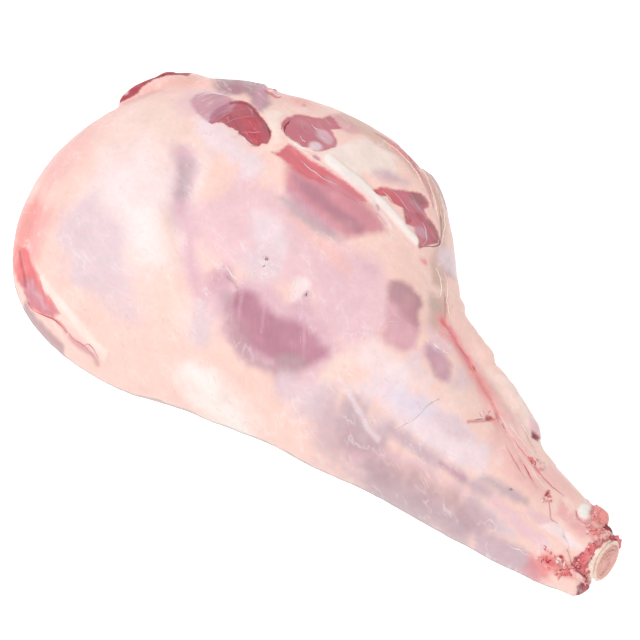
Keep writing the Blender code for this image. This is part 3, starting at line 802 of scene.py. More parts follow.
SHANK: tuple[Patch, ...] = (
    Patch("shank pink", Tone.PINK_FAT, ((98, 14), (112, 10), (124, 2), (140, -2), (146, -14), (138, -18),
        (118, -16), (102, -6)), 9, 0.9),
    Patch("shank top cream", Tone.PALE_PEACH, ((78, 30), (96, 28), (110, 22), (120, 14), (116, 8),
        (106, 14),
        (92, 20), (80, 24)), 5, 0.95, lift=0.4),
    Patch("tendon end", Tone.PINK_LILAC, ((110, 22), (119, 21), (123.5, 17), (121, 14),
        (115, 15)), 2.5, 0.9, lift=0.5),
    Patch("tendon cut", Tone.DARK_BLOOD, ((117, 15.8), (119, 13), (122.8, 13.6), (123, 16.2),
        (120, 15.8)), 1.2, 0.95, lift=-1.2),
    Streak("shank ridge, pale", Tone.PALE_PEACH, ((124, 11.8), (130, 10.8),
        (137, 10)), 1.4, 0.9, lift=0.5, width=1.5),
    Patch("shank ridge, grey", Tone.GREY_TAN, ((122, 14), (132, 13.5), (140, 12), (132, 11.8)), 2.5, 0.7),
    Patch("shank top, peach", Tone.PINK_FAT, ((134, 8), (146, 7), (158, 5), (158, -3), (146, -4),
        (134, -2)), 5, 0.95),
    Patch("shank top, cream rim", Tone.CREAM_FAT, ((138, 12), (150, 10), (162, 8), (160, 5.5), (150, 6.5),
        (140, 8)), 3, 0.85),
    Streak("second vein", Tone.FLUSH, ((125.5, -0.6), (128, -1.2), (131, -2.6),
        (134, -3.6)), 1.2, 0.95, lift=-0.5, width=1.8),
    Streak("second vein goes on", Tone.SHELL_PINK, ((134, -3.6), (140, -4.8), (146, -5),
        (152, -4.4)), 1.2, 0.8, lift=-0.4, width=1.1),
    Patch("dark knot", Tone.CRIMSON, oval(144, -10.2, 1.0, 2.2, 0), 1.1, 0.95, lift=-0.6),
    Patch("shank heel pink", Tone.SHELL_PINK, ((150, -8), (160, -8), (170, -10), (176, -14), (172, -18),
        (154, -17)), 4, 0.95),
    Patch("shank heel flush", Tone.CORAL, ((166, -8), (172, -5.5), (176, -9), (180, -14), (178, -17),
        (172, -12)), 3.5, 0.9),
    Patch("shank heel, red line", Tone.CORAL_RED, ((172, -8), (178, -9), (182, -11), (180.5, -15),
        (178, -15), (176, -11)), 2, 0.9),
    Patch("lilac streak", Tone.GREY_MAUVE, ((112, -24), (120, -22.5), (128, -20.5), (138, -20.5),
        (142, -22.5), (132, -25.5), (120, -27), (112, -27.5)), 6, 0.9),
    Patch("lilac streak, dot", Tone.BROWN_EDGE, oval(127.8, -21.6, 0.7, 0.7, 0), 0.7, 0.9),
    Patch("bone sheath, pink start", Tone.PINK_LILAC, ((140, -27), (142, -21.5), (154, -20),
        (156, -26)), 4, 0.9),
    # Pale fell over the bone, with the highlight along the shank's top ridge painted in.
    Patch("bone sheath", Tone.ROSE_WHITE, ((152, -26), (156, -21), (166, -20.3), (174, -20.8), (177, -23.5),
        (172, -25.6), (160, -26)), 3, 1.0, lift=0.8),
    Patch("shank lower, pink", Tone.PINK_LILAC, ((122, -30), (140, -29), (158, -29), (164, -33), (158, -36),
        (136, -36), (122, -35)), 4, 0.9),
    Patch("lilac patch", Tone.LILAC_GREY, ((116, -37), (130, -36.5), (142, -36.5), (146, -39), (136, -43.5),
        (120, -45), (112, -41)), 5, 0.95),
    Patch("shank foot", Tone.MAUVE_GREY, ((122, -46), (136, -44), (150, -40), (160, -41), (168, -44),
        (160, -52), (130, -56)), 5, 0.95),
    Patch("rag, salmon", Tone.SALMON, ((160, -36), (164, -33.5), (172, -31), (180, -33), (184, -36),
        (176, -39), (166, -42), (161, -40)), 4, 0.95),
    Patch("rag, red heart", Tone.CORAL_RED, oval(167.3, -37.2, 2.4, 2.0, 20), 1.6, 1.0, lift=0.5),
    Patch("rag, upper red", Tone.CORAL_RED, oval(170.5, -32.4, 2.6, 1.5, -10), 1.4, 0.95, lift=-0.4),
    Patch("lump by the bone", Tone.PALE_PEACH, oval(182.5, -33.4, 4.4, 2, 5), 1.6, 0.9, lift=0.5),
    Streak("groove by the bone", Tone.DEEP_BLOOD, ((176.5, -29), (178.6, -26.5),
        (180, -23)), 1.6, 0.95, lift=-1.0, width=2.2),
    Patch("groove flush", Tone.FLUSH, ((177, -29.6), (179.4, -22), (181.4, -19.5), (183, -25), (184, -31),
        (179, -32)), 1.8, 0.9, lift=-0.4),
    Streak("groove under the bone", Tone.DEEP_BLOOD, ((176, -28.5), (180, -30.6), (185, -31),
        (191, -30.2)), 1.2, 0.95, lift=-1.0, width=1.6),
    Patch("cut muscle end", Tone.DARK_BLOOD, ((184.6, -37.6), (185.6, -33.4), (187.6, -30.6),
        (194, -29), (195, -38),
        (189.4, -41.6)), 1.4, 1.0, lift=-0.4),
    Patch("cut muscle, red heart", Tone.BRIGHT_CRIMSON, oval(188.6, -35, 1.6, 2.4, 0), 1.4, 0.9),
    Patch("heel pit", Tone.DEEP_BLOOD, ((178.4, -1), (180, 0.5), (183, -2), (184, -6), (181, -7),
        (178.6, -4.5)), 1.2, 1.0, lift=-1.4),
    Patch("red by the bone top", Tone.BRIGHT_CRIMSON, ((180.6, -6.6), (184, -6.6), (190, -6.6), (189, -9),
        (184, -10.4), (181, -12)), 1.6, 1.0, lift=-0.4),
    Patch("heel knob", Tone.SALMON, ((167, 4), (170, 6), (176, 5), (180, 0), (178.5, -4), (174, -6.5),
        (170, -4), (167.4, -0.5)), 2.4, 0.9),
    Streak("knob, left groove", Tone.ROSE_LEAN, ((166.6, 5.5), (167.2, 2),
        (168.4, -2)), 1.4, 0.85, lift=-0.7, width=1.4),
    Patch("tendon oval", Tone.TENDON_WHITE, ((161.6, -2), (163, 0.4), (165.6, 1),
        (167, -1.5), (168.6, -5), (167.8, -7.8), (165.2, -8), (162.8, -5.6)), 1.8, 1.0, lift=1.0),
    Streak("tendon oval, shade", Tone.ROSE_VEIL, ((162, -6.8), (165, -9.6), (169.5, -9.4),
        (170.4, -5.5)), 1.3, 0.85, lift=-0.5, width=1.3),
)

UNDERSIDE: tuple[Patch, ...] = (
    Patch("underside", Tone.PALE_PEACH, ((-200, -110), (200, -110), (200, 110),
        (-200, 110)), 10, 0.8, side=Side.UNDER),
    Patch("inner thigh haze", Tone.PINK_LILAC, oval(-60, 10, 80, 40, -10), 40, 0.8, side=Side.UNDER),
    Patch("inner rump haze", Tone.LILAC_GREY, oval(-120, -30, 40, 30, 0), 30, 0.7, side=Side.UNDER),
    Patch("inner calf haze", Tone.BLUE_LILAC, oval(80, -20, 50, 18, -10), 20, 0.7, side=Side.UNDER),
)

TRIM: tuple[Patch, ...] = (
    Streak("rump top, full", Tone.PEACH_FAT, ((-165, 56), (-153, 64), (-136, 71), (-119, 77.5)), 8, 0.0,
        lift=2.6, width=16),
    # painted shade along the calf's lower side
    Patch("calf foot, dusk", Tone.DUSK_MAUVE, ((40, -50), (76, -45), (106, -40), (134, -38), (136, -45),
        (108, -51), (78, -56), (42, -60)), 10, 0.5),
    Patch("left of the eye, dusk", Tone.LILAC_GREY, oval(-52, -57, 8, 10, 30), 12, 0.85),
    Patch("under the eye, dusk", Tone.LILAC_GREY, oval(12, -54, 16, 6, -5), 12, 0.85),
    # partly painted light: pale fat, whitened where the low slope faces the softbox
    Patch("low flank, pale", Tone.WHITE_FAT, oval(-26, -79, 26, 8, -8), 14, 0.9),
    Patch("hip, rosy crown", Tone.CORAL, oval(-158, -68, 7, 16, 12), 12, 0.55),
    Patch("end, raw flush", Tone.CORAL_RED, oval(163, -42, 8, 4.5, -8), 6, 0.6),
    Patch("right edge, grey veil", Tone.LILAC_WHITE, oval(26, 64, 7, 9, 0), 8, 0.85),
    Patch("hip end, full", Tone.PEACH_FAT, ((-180, 10), (-176, -20), (-172, -45), (-170, -60),
        (-200, -80), (-212, 0)),
        8, 0.0, lift=0.3),
    Streak("knee edge, full", Tone.PEACH_FAT, ((-12, 96), (-1.6, 91.5), (10, 82), (22, 70),
        (37, 54)), 8, 0.0,
        lift=2.4, width=14),
    Streak("shin edge, full", Tone.PEACH_FAT, ((46, 47), (58, 39.5), (70, 35)), 8, 0.0, lift=3.4, width=12),
    Streak("shank edge, full", Tone.PEACH_FAT, ((84, 31), (98.7, 25.5),
        (112.6, 20.4)), 6, 0.0, lift=1.2, width=10),
)

LUMPS: tuple[Lump, ...] = (
    Lump("heel knob, outer lobe", (174.5, 1.0), 2.6, (5.2, 4.4, 4.2), -40),
    Lump("heel knob, inner lobe", (170.5, 1.5), 2.2, (3.8, 4.2, 3.6), 20),
    Lump("tendon stub", (119.0, 15.5), 2.4, (5.5, 2.6, 3.4), -30),
    Lump("lump beside the bone", (182.5, -33.2), 0.8, (5.6, 2.4, 2.4), 10),
    Lump("rump edge lean", (-175.6, 42.6), 0.0, (18.0, 4.4, 7.0), 66, 51.0),
    Lump("cut muscle end", (182.8, -36.6), 0.0, (7.8, 5.6, 6.6), 0, 22.0),
)

STRANDS: tuple[Strand, ...] = (
    # threads over the rump lean
    Strand("rump thread 1", Tone.FLUSH, ((-119.5, 39), (-119, 46), (-117, 53), (-113, 59)), 0.6),
    Strand("rump thread 3", Tone.FLUSH, ((-115, 42.5), (-113.6, 47), (-110.6, 51.6), (-107, 57)), 0.5),
    Strand("rump thread 5", Tone.PALE_LEAN, ((-104, 43.6), (-100.6, 47), (-96.6, 50.4)), 0.6),
    Strand("rump lean, edge", Tone.DARK_BLOOD, ((-99, 57), (-96, 55.6), (-92.6, 53.4), (-90.4, 50.6)), 0.8),
    Strand("rump lean, lip", Tone.LILAC_WHITE, ((-107, 42.6), (-104, 42), (-100, 41), (-96, 40.4),
        (-92, 42)), 0.7),
    Strand("veiled lobe, rim", Tone.LILAC_WHITE, ((-139.6, 47), (-138.6, 52.6), (-134, 57),
        (-128, 59.6), (-121, 61.4)), 0.8),
    # the crack and lips of the outer lean
    Strand("outer lean, crack", Tone.DARK_BLOOD, ((-89.4, 68), (-88.6, 65), (-88.8, 63), (-87.4, 60.6),
        (-86, 58.4),
        (-83, 57)), 1.1, -0.1),
    Strand("outer lean, crack lip", Tone.FLUSH, ((-91.4, 68), (-91, 64), (-89.8, 60.6), (-88, 58.6)), 1.0),
    Strand("outer lean, fleck 1", Tone.PALE_THREAD, ((-78, 62), (-75, 60.6), (-73, 61)), 0.8),
    Strand("outer lean, fleck 2", Tone.PALE_THREAD, ((-80, 74.4), (-76, 73.6), (-73, 74.6)), 0.9),
    Strand("outer lean, fleck 4", Tone.PALE_THREAD, ((-72, 72), (-69, 70.2), (-65, 70.8)), 1.0),
    Strand("outer lean, foot lip", Tone.WHITE_FAT, ((-84, 56.4), (-78, 55.6), (-72, 55.8), (-66, 57.4),
        (-62, 60)), 1.0),
    # threads of the bright band and the fat ridge
    Strand("bright edge thread", Tone.PALE_THREAD, ((-68, 49.2), (-60, 48.4), (-54, 48.2), (-48, 48.8),
        (-42, 50.2)), 0.7),
    Strand("bright edge lip", Tone.CREAM_FAT, ((-82, 55), (-74, 54.6), (-64, 54.4), (-52, 55)), 0.9),
    Strand("ridge foot 2", Tone.CREAM_FAT, ((-16, 50.6), (-10, 48.6), (-4, 47.2), (2, 47.4)), 0.6),
    Strand("knee lean thread 1", Tone.PALE_LEAN, ((-22, 69.6), (-16, 69), (-10, 67.4), (-4, 65.8)), 0.6),
    Strand("knee lean thread 2", Tone.PALE_LEAN, ((-12, 75.6), (-6, 73), (0, 71.4), (6, 70)), 0.5),
    Strand("knee lean thread 3", Tone.PALE_THREAD, ((-24, 65.6), (-18, 64.6), (-13, 62.8)), 0.6),
    Strand("knee lean thread 4", Tone.PALE_THREAD, ((3, 67), (8, 64), (11, 59.6), (12, 55)), 0.7),
    Strand("knee lean edge", Tone.BROWN_LEAN, ((15, 68), (17, 64.6), (15.6, 60.4), (13.4, 56.2),
        (11.6, 53)), 0.9),
    # cords that run round the outer edge to the knee
    Strand("cord 1", Tone.ROSE_VEIL, ((-52, 97.6), (-42, 98), (-32, 97), (-22, 93.6), (-12, 89.4),
        (-4, 84), (2, 78.6)), 1.5, 0.2),
    Strand("cord 2", Tone.PEACH_FAT, ((-46, 95.6), (-36, 95), (-26, 93), (-16, 88.8),
        (-8, 84.6)), 1.2, 0.1),
    Strand("cord 4", Tone.PALE_PEACH, ((-26, 97.6), (-16, 94), (-8, 89.4), (0, 83.4), (6, 77.6),
        (11, 72.4)), 1.0, 0.1),
    Strand("cord 5", Tone.TAN_FAT, ((-20, 97.8), (-10, 93.6), (-2, 88), (6, 81), (12, 74),
        (16, 67)), 1.4, 0.2),
    Strand("cord 6", Tone.CREAM_FAT, ((-4, 92), (4, 85.4), (10, 78.4), (15, 71), (18, 63.6),
        (20, 57)), 1.0, 0.1),
    Strand("cord 7", Tone.FLUSH, ((-34, 98.8), (-26, 96.6), (-18, 92.4)), 1.0, 0.1),
    Strand("cord 8", Tone.DUSK_MAUVE, ((4, 82.4), (9, 77), (13.4, 71), (16.6, 65)), 0.7),
    Strand("knee curl 1", Tone.WHITE_FAT, ((24, 52), (29, 49), (33, 44.6), (35.4, 40)), 0.9, 0.1),
    Strand("knee curl 2", Tone.CREAM_FAT, ((28, 54), (33, 50.4), (37, 45), (39.6, 39.6)), 0.9, 0.2),
    Strand("knee curl 3", Tone.ROSE_VEIL, ((34, 45.6), (38.4, 41.4), (41.6, 36.6), (44, 33)), 0.8, 0.2),
    Strand("knee curl 4", Tone.PALE_PEACH, ((36, 44), (41, 40.6), (45, 36.4), (47.4, 33)), 1.0, 0.2),
    # creases and rumples of the fell in the middle
    Strand("crease lip", Tone.WHITE_FAT, ((-60.6, -25), (-57, -26.4), (-53, -27.4), (-49, -27.6),
        (-45.6, -26.4)), 0.6),
    Strand("rumple 1", Tone.WHITE_FAT, ((-47, -8.6), (-45.6, -10.4), (-43.4, -11.8), (-42.4, -13.8)), 0.6),
    Strand("rumple 2", Tone.WHITE_FAT, ((-40.6, -9.6), (-41, -12), (-39.6, -14.6), (-40.6, -17)), 0.6),
    Strand("rumple 3", Tone.ROSE_WHITE, ((-43.6, -14.6), (-44.8, -17.4), (-46, -19.4), (-45, -22)), 0.6),
    Strand("rumple, dark 1", Tone.BROWN_EDGE, ((-45.6, -9.6), (-44.6, -8.8), (-43.8, -9.4)), 0.7),
    Strand("rumple, dark 2", Tone.DUSK_MAUVE, ((-43.2, -12.4), (-43.6, -14.4)), 0.7),
    Strand("wedge, dark 1", Tone.BROWN_EDGE, ((-17.2, -10.4), (-16.6, -11.6), (-15.8, -12)), 0.6),
    # the wedge's white lip, part of its painted glint
    Strand("wedge lip", Tone.WHITE_FAT, ((-26, -8), (-24.8, -12), (-22.8, -16.4), (-20.4, -19)), 0.7),
    Strand("eye, slant 1", Tone.MAUVE_VEIL, ((-35.6, -19), (-33, -23.6), (-30.4, -28.6)), 0.6, -0.15),
    Strand("eye, slant 2", Tone.MAUVE_VEIL, ((-9.4, -20), (-5.4, -24), (-1.4, -28)), 0.6, -0.15),
    Strand("eye, slant 3", Tone.PALE_LEAN, ((-9.4, -26), (-6, -30), (-2.6, -34.6)), 0.5, -0.1),
    # shin lean, oval and calf
    Strand("shin arc", Tone.PALE_THREAD, ((23.6, -0.4), (24, 3), (25.6, 6.4), (28.4, 9.6),
        (32.6, 12.2)), 0.5),
    # raised lips of the oval, white as a painted highlight
    Strand("oval lip 1", Tone.WHITE_FAT, ((49, 14.6), (52.4, 14.4), (55, 15.2)), 0.9, 0.2),
    Strand("oval lip 2", Tone.WHITE_FAT, ((55, 15.2), (57.4, 15.6), (57.8, 18)), 0.9, 0.2),
    # the fold's grey-tan is a painted shadow beside its pale lip
    Strand("fell fold", Tone.GREY_TAN, ((71, -5), (69.6, -10), (68, -15), (67.2, -20), (66.4, -25),
        (64.6, -30), (61.6, -36.6)), 0.5, -0.1),
    Strand("fell fold, lip", Tone.ROSE_WHITE, ((68.4, -11), (66.8, -16), (66, -21), (65, -26),
        (62.8, -31.4), (59.8, -37)), 0.5, -0.05),
    # the long vein, its side branch and capillaries
    Strand("vein, dark 1", Tone.ROSE_LEAN, ((49, 30.2), (58.2, 26.5), (65.9, 24.6),
        (71.4, 21.6)), 0.7, -0.2),
    Strand("vein, dark 2", Tone.BLOOD, ((69, 23), (72.6, 22), (75.6, 19.8)), 0.9, -0.2),
    Strand("vein, dark 3", Tone.FLUSH, ((76, 19.4), (81.7, 16.7), (90.9, 12.3), (98, 8.6)), 0.6, -0.2),
    Strand("vein, dark 4", Tone.DUSK_LEAN, ((98, 8.6), (103, 5.6), (110.6, 1.4), (118, -2)), 0.7, -0.2),
    Strand("vein branch", Tone.BROWN_LEAN, ((91, -4.6), (93, -1.6), (95, 0.6), (97, 4.6)), 0.7, -0.15),
    Strand("capillary 1", Tone.BLOOD, ((96, 1.6), (93, 2.6), (90.6, 4.4)), 0.5, -0.1),
    Strand("capillary 2", Tone.BLOOD, ((96, 2.6), (94, 5), (93.4, 8)), 0.5, -0.1),
    Strand("capillary 3", Tone.BLOOD, ((95.6, 0.4), (92, 0.4), (88.6, 2)), 0.4, -0.1),
    Strand("capillary 4", Tone.CORAL_RED, ((96.4, 3), (98.6, 5), (99, 7.6)), 0.5, -0.1),
    Strand("vein, pale lip", Tone.ROSE_WHITE, ((97.6, 9.8), (103, 7.4), (109.6, 4.4),
        (116, 1.4)), 0.6, 0.0),
    # shank cords
    Strand("shank cord 1", Tone.ROSE_WHITE, ((104, 9), (112, 6.4), (120, 4.6), (128, 3.2),
        (134, 4)), 0.8, 0.0),
    Strand("shank cord 2", Tone.FLUSH, ((112, 3), (119, 0.6), (126, -0.8), (131, -2.4), (138, -4),
        (146, -5), (152, -4.8)), 0.8),
    Strand("shank cord 3", Tone.PALE_PEACH, ((116, -1), (123, -3), (130, -4.6), (137, -7),
        (143, -8.4)), 0.8, 0.0),
    Strand("shank cord 4", Tone.FLUSH, ((110, -3), (117, -6), (124, -9.4), (131, -12)), 0.7),
    Strand("shank cord 5", Tone.BLOOD, ((122, -4.4), (127, -6.4), (132, -8.6), (137, -10.4)), 0.8, -0.1),
    Strand("shank cord 6", Tone.PALE_PEACH, ((108, 16), (114, 13), (119, 10), (124, 8)), 1.2, 0.1),
    Strand("shank cord 7", Tone.TAN_FAT, ((112, 13.6), (117, 10.4), (122, 7.6), (127, 5.8)), 0.8),
    Strand("shank curl 1", Tone.BLOOD, ((126.4, -0.6), (128.4, -1.6), (129.8, -0.6), (128.6, 0.8),
        (126.8, 0.4)), 0.8, 0.1),
    Strand("shank curl 2", Tone.PALE_THREAD, ((130, 1), (132.6, 2.8), (135, 2), (134.4, -0.4),
        (132, -1)), 0.9, 0.1),
    Strand("knot", Tone.DEEP_BLOOD, ((143.4, -9), (144.6, -10.4), (144, -12)), 1.2, 0.1),
    Strand("knot line", Tone.ROSE_VEIL, ((144.6, -12), (148, -13.8), (150.8, -16.4), (152.4, -19),
        (155, -20), (159.6, -18.8)), 0.7),
    Strand("frill 1", Tone.WHITE_FAT, ((143, -43.6), (147, -43.2), (150, -42), (153.4, -41.6),
        (156, -40.4), (159, -39.2)), 0.5, 0.1),
    Strand("oval, fold", Tone.FLUSH, ((161.4, -6.4), (163.6, -9), (167, -10), (170, -9)), 0.8, 0.0),
    Strand("knob fold 2", Tone.FLUSH, ((171.4, 3.6), (172, 0.4), (173.4, -2.4), (176, -4.4)), 0.7, 0.2),
    Strand("knob edge", Tone.BROWN_LEAN, ((161, 6.4), (164, 5.6), (167, 5.4), (169.6, 5.8)), 0.9, 0.1),
    # the hip cut
    Strand("hip red line", Tone.BLOOD, ((-147, -96.6), (-141, -98.4), (-134, -98.6), (-128, -97.4),
        (-124, -96.8), (-118, -97.6)), 0.8, 0.0),
    Strand("hip red line, far", Tone.FLUSH, ((-118, -97.6), (-111, -98.6), (-104, -98.4), (-99, -98.6),
        (-94, -99.8)), 0.7, 0.0),
    Strand("hip leaf 1", Tone.FLUSH, ((-104, -98.4), (-99, -97), (-94.6, -97.8), (-91, -99.6)), 0.7, 0.0),
)

RAGS: tuple[Rag, ...] = (
    Rag("torn strip at the heel", Tone.DEEP_BLOOD, Tone.DARK_BLOOD, ((177.4, -3.4), (179.6, -1),
        (182.4, -2.6),
        (184.4, -4.6), (187.4, -5.2), (189.4, -7.6), (186.4, -9.4), (182, -8.4),
        (179.2, -7)), 3.0, 34.4, (0.2, -0.3)),
    Rag("tag by the bone", Tone.CORAL, Tone.CORAL_RED, ((186, -5.4), (187, -3.4), (188, -4.8),
        (189.4, -3.8),
        (190.2, -6.2), (191.2, -8.4), (188.6, -8.2)), 1.6, 36.0),
    Rag("lump under the bone", Tone.PALE_PEACH, Tone.SHELL_PINK, ((176.6, -33.4), (178.4, -31.4),
        (182, -31.4),
        (186.6, -31), (188, -32.4), (185, -34.2), (180.6, -34.8)), 2.6),
    Rag("fat tag on the rump edge", Tone.PEACH_FAT, Tone.FLUSH, ((-115, 80), (-113.6, 84.6),
        (-112, 81.6), (-108, 81.6),
        (-107.6, 78.6), (-111, 77.6), (-114.6, 77.6)), 1.8),
)

FEATURES = HIP + MIDDLE + RUMP + UPPER + CALF + SHANK + UNDERSIDE + TRIM


def torn_ends() -> tuple[Strand, ...]:
    """The torn tissue round the saw cut, the heel and the cut muscle."""
    red = (Tone.CORAL_RED, Tone.BLOOD, Tone.SALMON, Tone.CORAL, Tone.DEEP_BLOOD)
    pale = (Tone.SALMON, Tone.CORAL, Tone.SHELL_PINK, Tone.PALE_PEACH, Tone.CORAL_RED)
    return (shreds("rag", (168.0, -35.6), (8.5, 3.4), 40, red + pale, 1)
            + shreds("rag foot", (174.0, -33.0), (6.0, 2.6), 18, red, 2)
            + shreds("heel", (183.6, -7.0), (5.0, 3.0), 26, red, 3)
            + shreds("over the bone", (176.6, -11.6), (5.6, 2.8), 26, pale, 4, 3.0)
            + shreds("groove", (179.4, -26.4), (2.4, 5.0), 24, red, 9, 2.6)
            + shreds("knob", (173.4, -3.0), (4.0, 3.0), 9, pale, 5)
            + shreds("under the bone", (182.6, -32.0), (6.4, 1.6), 20, red + pale, 6, 3.0)
            + shreds("shank", (148.0, -11.4), (5.0, 3.4), 8, pale, 7, 3.0)
            + shreds("tendon", (131.0, -0.4), (4.0, 2.0), 8, pale, 8, 3.0))


class Surface:
    """The outside of some pieces, for setting other pieces down on them."""

    def __init__(self, pieces: list[bpy.types.Object]) -> None:
        """Reads the pieces' meshes as they are now."""
        corners, faces = [], []
        for piece in pieces:
            first = len(corners)
            corners += [v.co.copy() for v in piece.data.vertices]
            faces += [[first + i for i in face.vertices] for face in piece.data.polygons]
        self.tree = BVHTree.FromPolygons(corners, faces)

    def drop(self, x: float, y: float) -> tuple[Vector, Vector] | None:
        """Drops a point straight down on the piece.

        Args:
            x, y: its plan position, mm.

        Returns:
            Where it lands, in mm, and the outward normal there; None if it misses.
        """
        unit = plan_unit()
        place, normal, _, _ = self.tree.ray_cast(Vector((x * unit, y * unit, 0.3)), Vector((0, 0, -1)))
        return None if place is None else (place / unit, normal)

    def nearest(self, x: float, y: float, z: float) -> tuple[Vector, Vector]:
        """The piece's nearest place to a point, in mm, and the outward normal there."""
        unit = plan_unit()
        place, normal, _, _ = self.tree.find_nearest(Vector((x, y, z)) * unit)
        return place / unit, normal


def shreds(name: str, middle: Point, spread: Point, count: int, tones: tuple[Tone, ...], seed: int,
           longest: float = 3.0) -> tuple[Strand, ...]:
    """Short curly ends of torn tissue, scattered round a cut.

    Args:
        name: what they are on the leg.
        middle: the middle of the place where they hang, mm.
        spread: its half length and half width, mm.
        count: how many there are.
        tones: the colours they take.
        seed: which of the endless scatters to take.
        longest: length of the longest, mm.

    Returns:
        The strands.
    """
    pick, made = random.Random(seed), []
    for i in range(count):
        x, y = (m + s * pick.uniform(-1, 1) for m, s in zip(middle, spread))
        turn, bend = pick.uniform(0, math.tau), pick.uniform(-1.0, 1.0)
        path, step = [(x, y)], pick.uniform(0.35, 1.0) * longest / 3
        for _ in range(3):
            path.append((path[-1][0] + step * math.cos(turn), path[-1][1] + step * math.sin(turn)))
            turn += bend
        made.append(Strand(f"{name} {i + 1}", pick.choice(tones), tuple(path), pick.uniform(0.8, 2.2),
                           pick.uniform(-0.2, 0.5)))
    return tuple(made)


def smooth_path(path: Path, step: float, closed: bool = False) -> list[Point]:
    """Points at an even step along a smooth curve through the path's own.

    Args:
        path: the points it passes through, mm.
        step: the distance between the new points, mm.
        closed: whether it returns to its start.

    Returns:
        The new points, mm.
    """
    marks = [Vector(p) for p in path]
    spans = len(marks) if closed else len(marks) - 1
    found = []
    for i in range(spans):
        a, b = marks[i], marks[(i + 1) % len(marks)]
        before = marks[i - 1] if closed or i else a * 2 - b
        after = marks[(i + 2) % len(marks)] if closed or i + 2 < len(marks) else b * 2 - a
        count = max(2, round((b - a).length / step))
        for k in range(count):
            t = k / count
            point = (a * 2 + (b - before) * t + (before * 2 - a * 5 + b * 4 - after) * t * t
                     + (a * 3 - before - b * 3 + after) * t * t * t) / 2
            found.append((point.x, point.y))
    return found if closed else found + [(marks[-1].x, marks[-1].y)]


def joined(pieces: list[bpy.types.Object], name: str) -> bpy.types.Object:
    """Makes one piece of several and names it."""
    select_only(pieces[0])
    for piece in pieces:
        piece.select_set(True)
    bpy.ops.object.join()
    made = bpy.context.active_object
    made.name = made.data.name = name
    return made


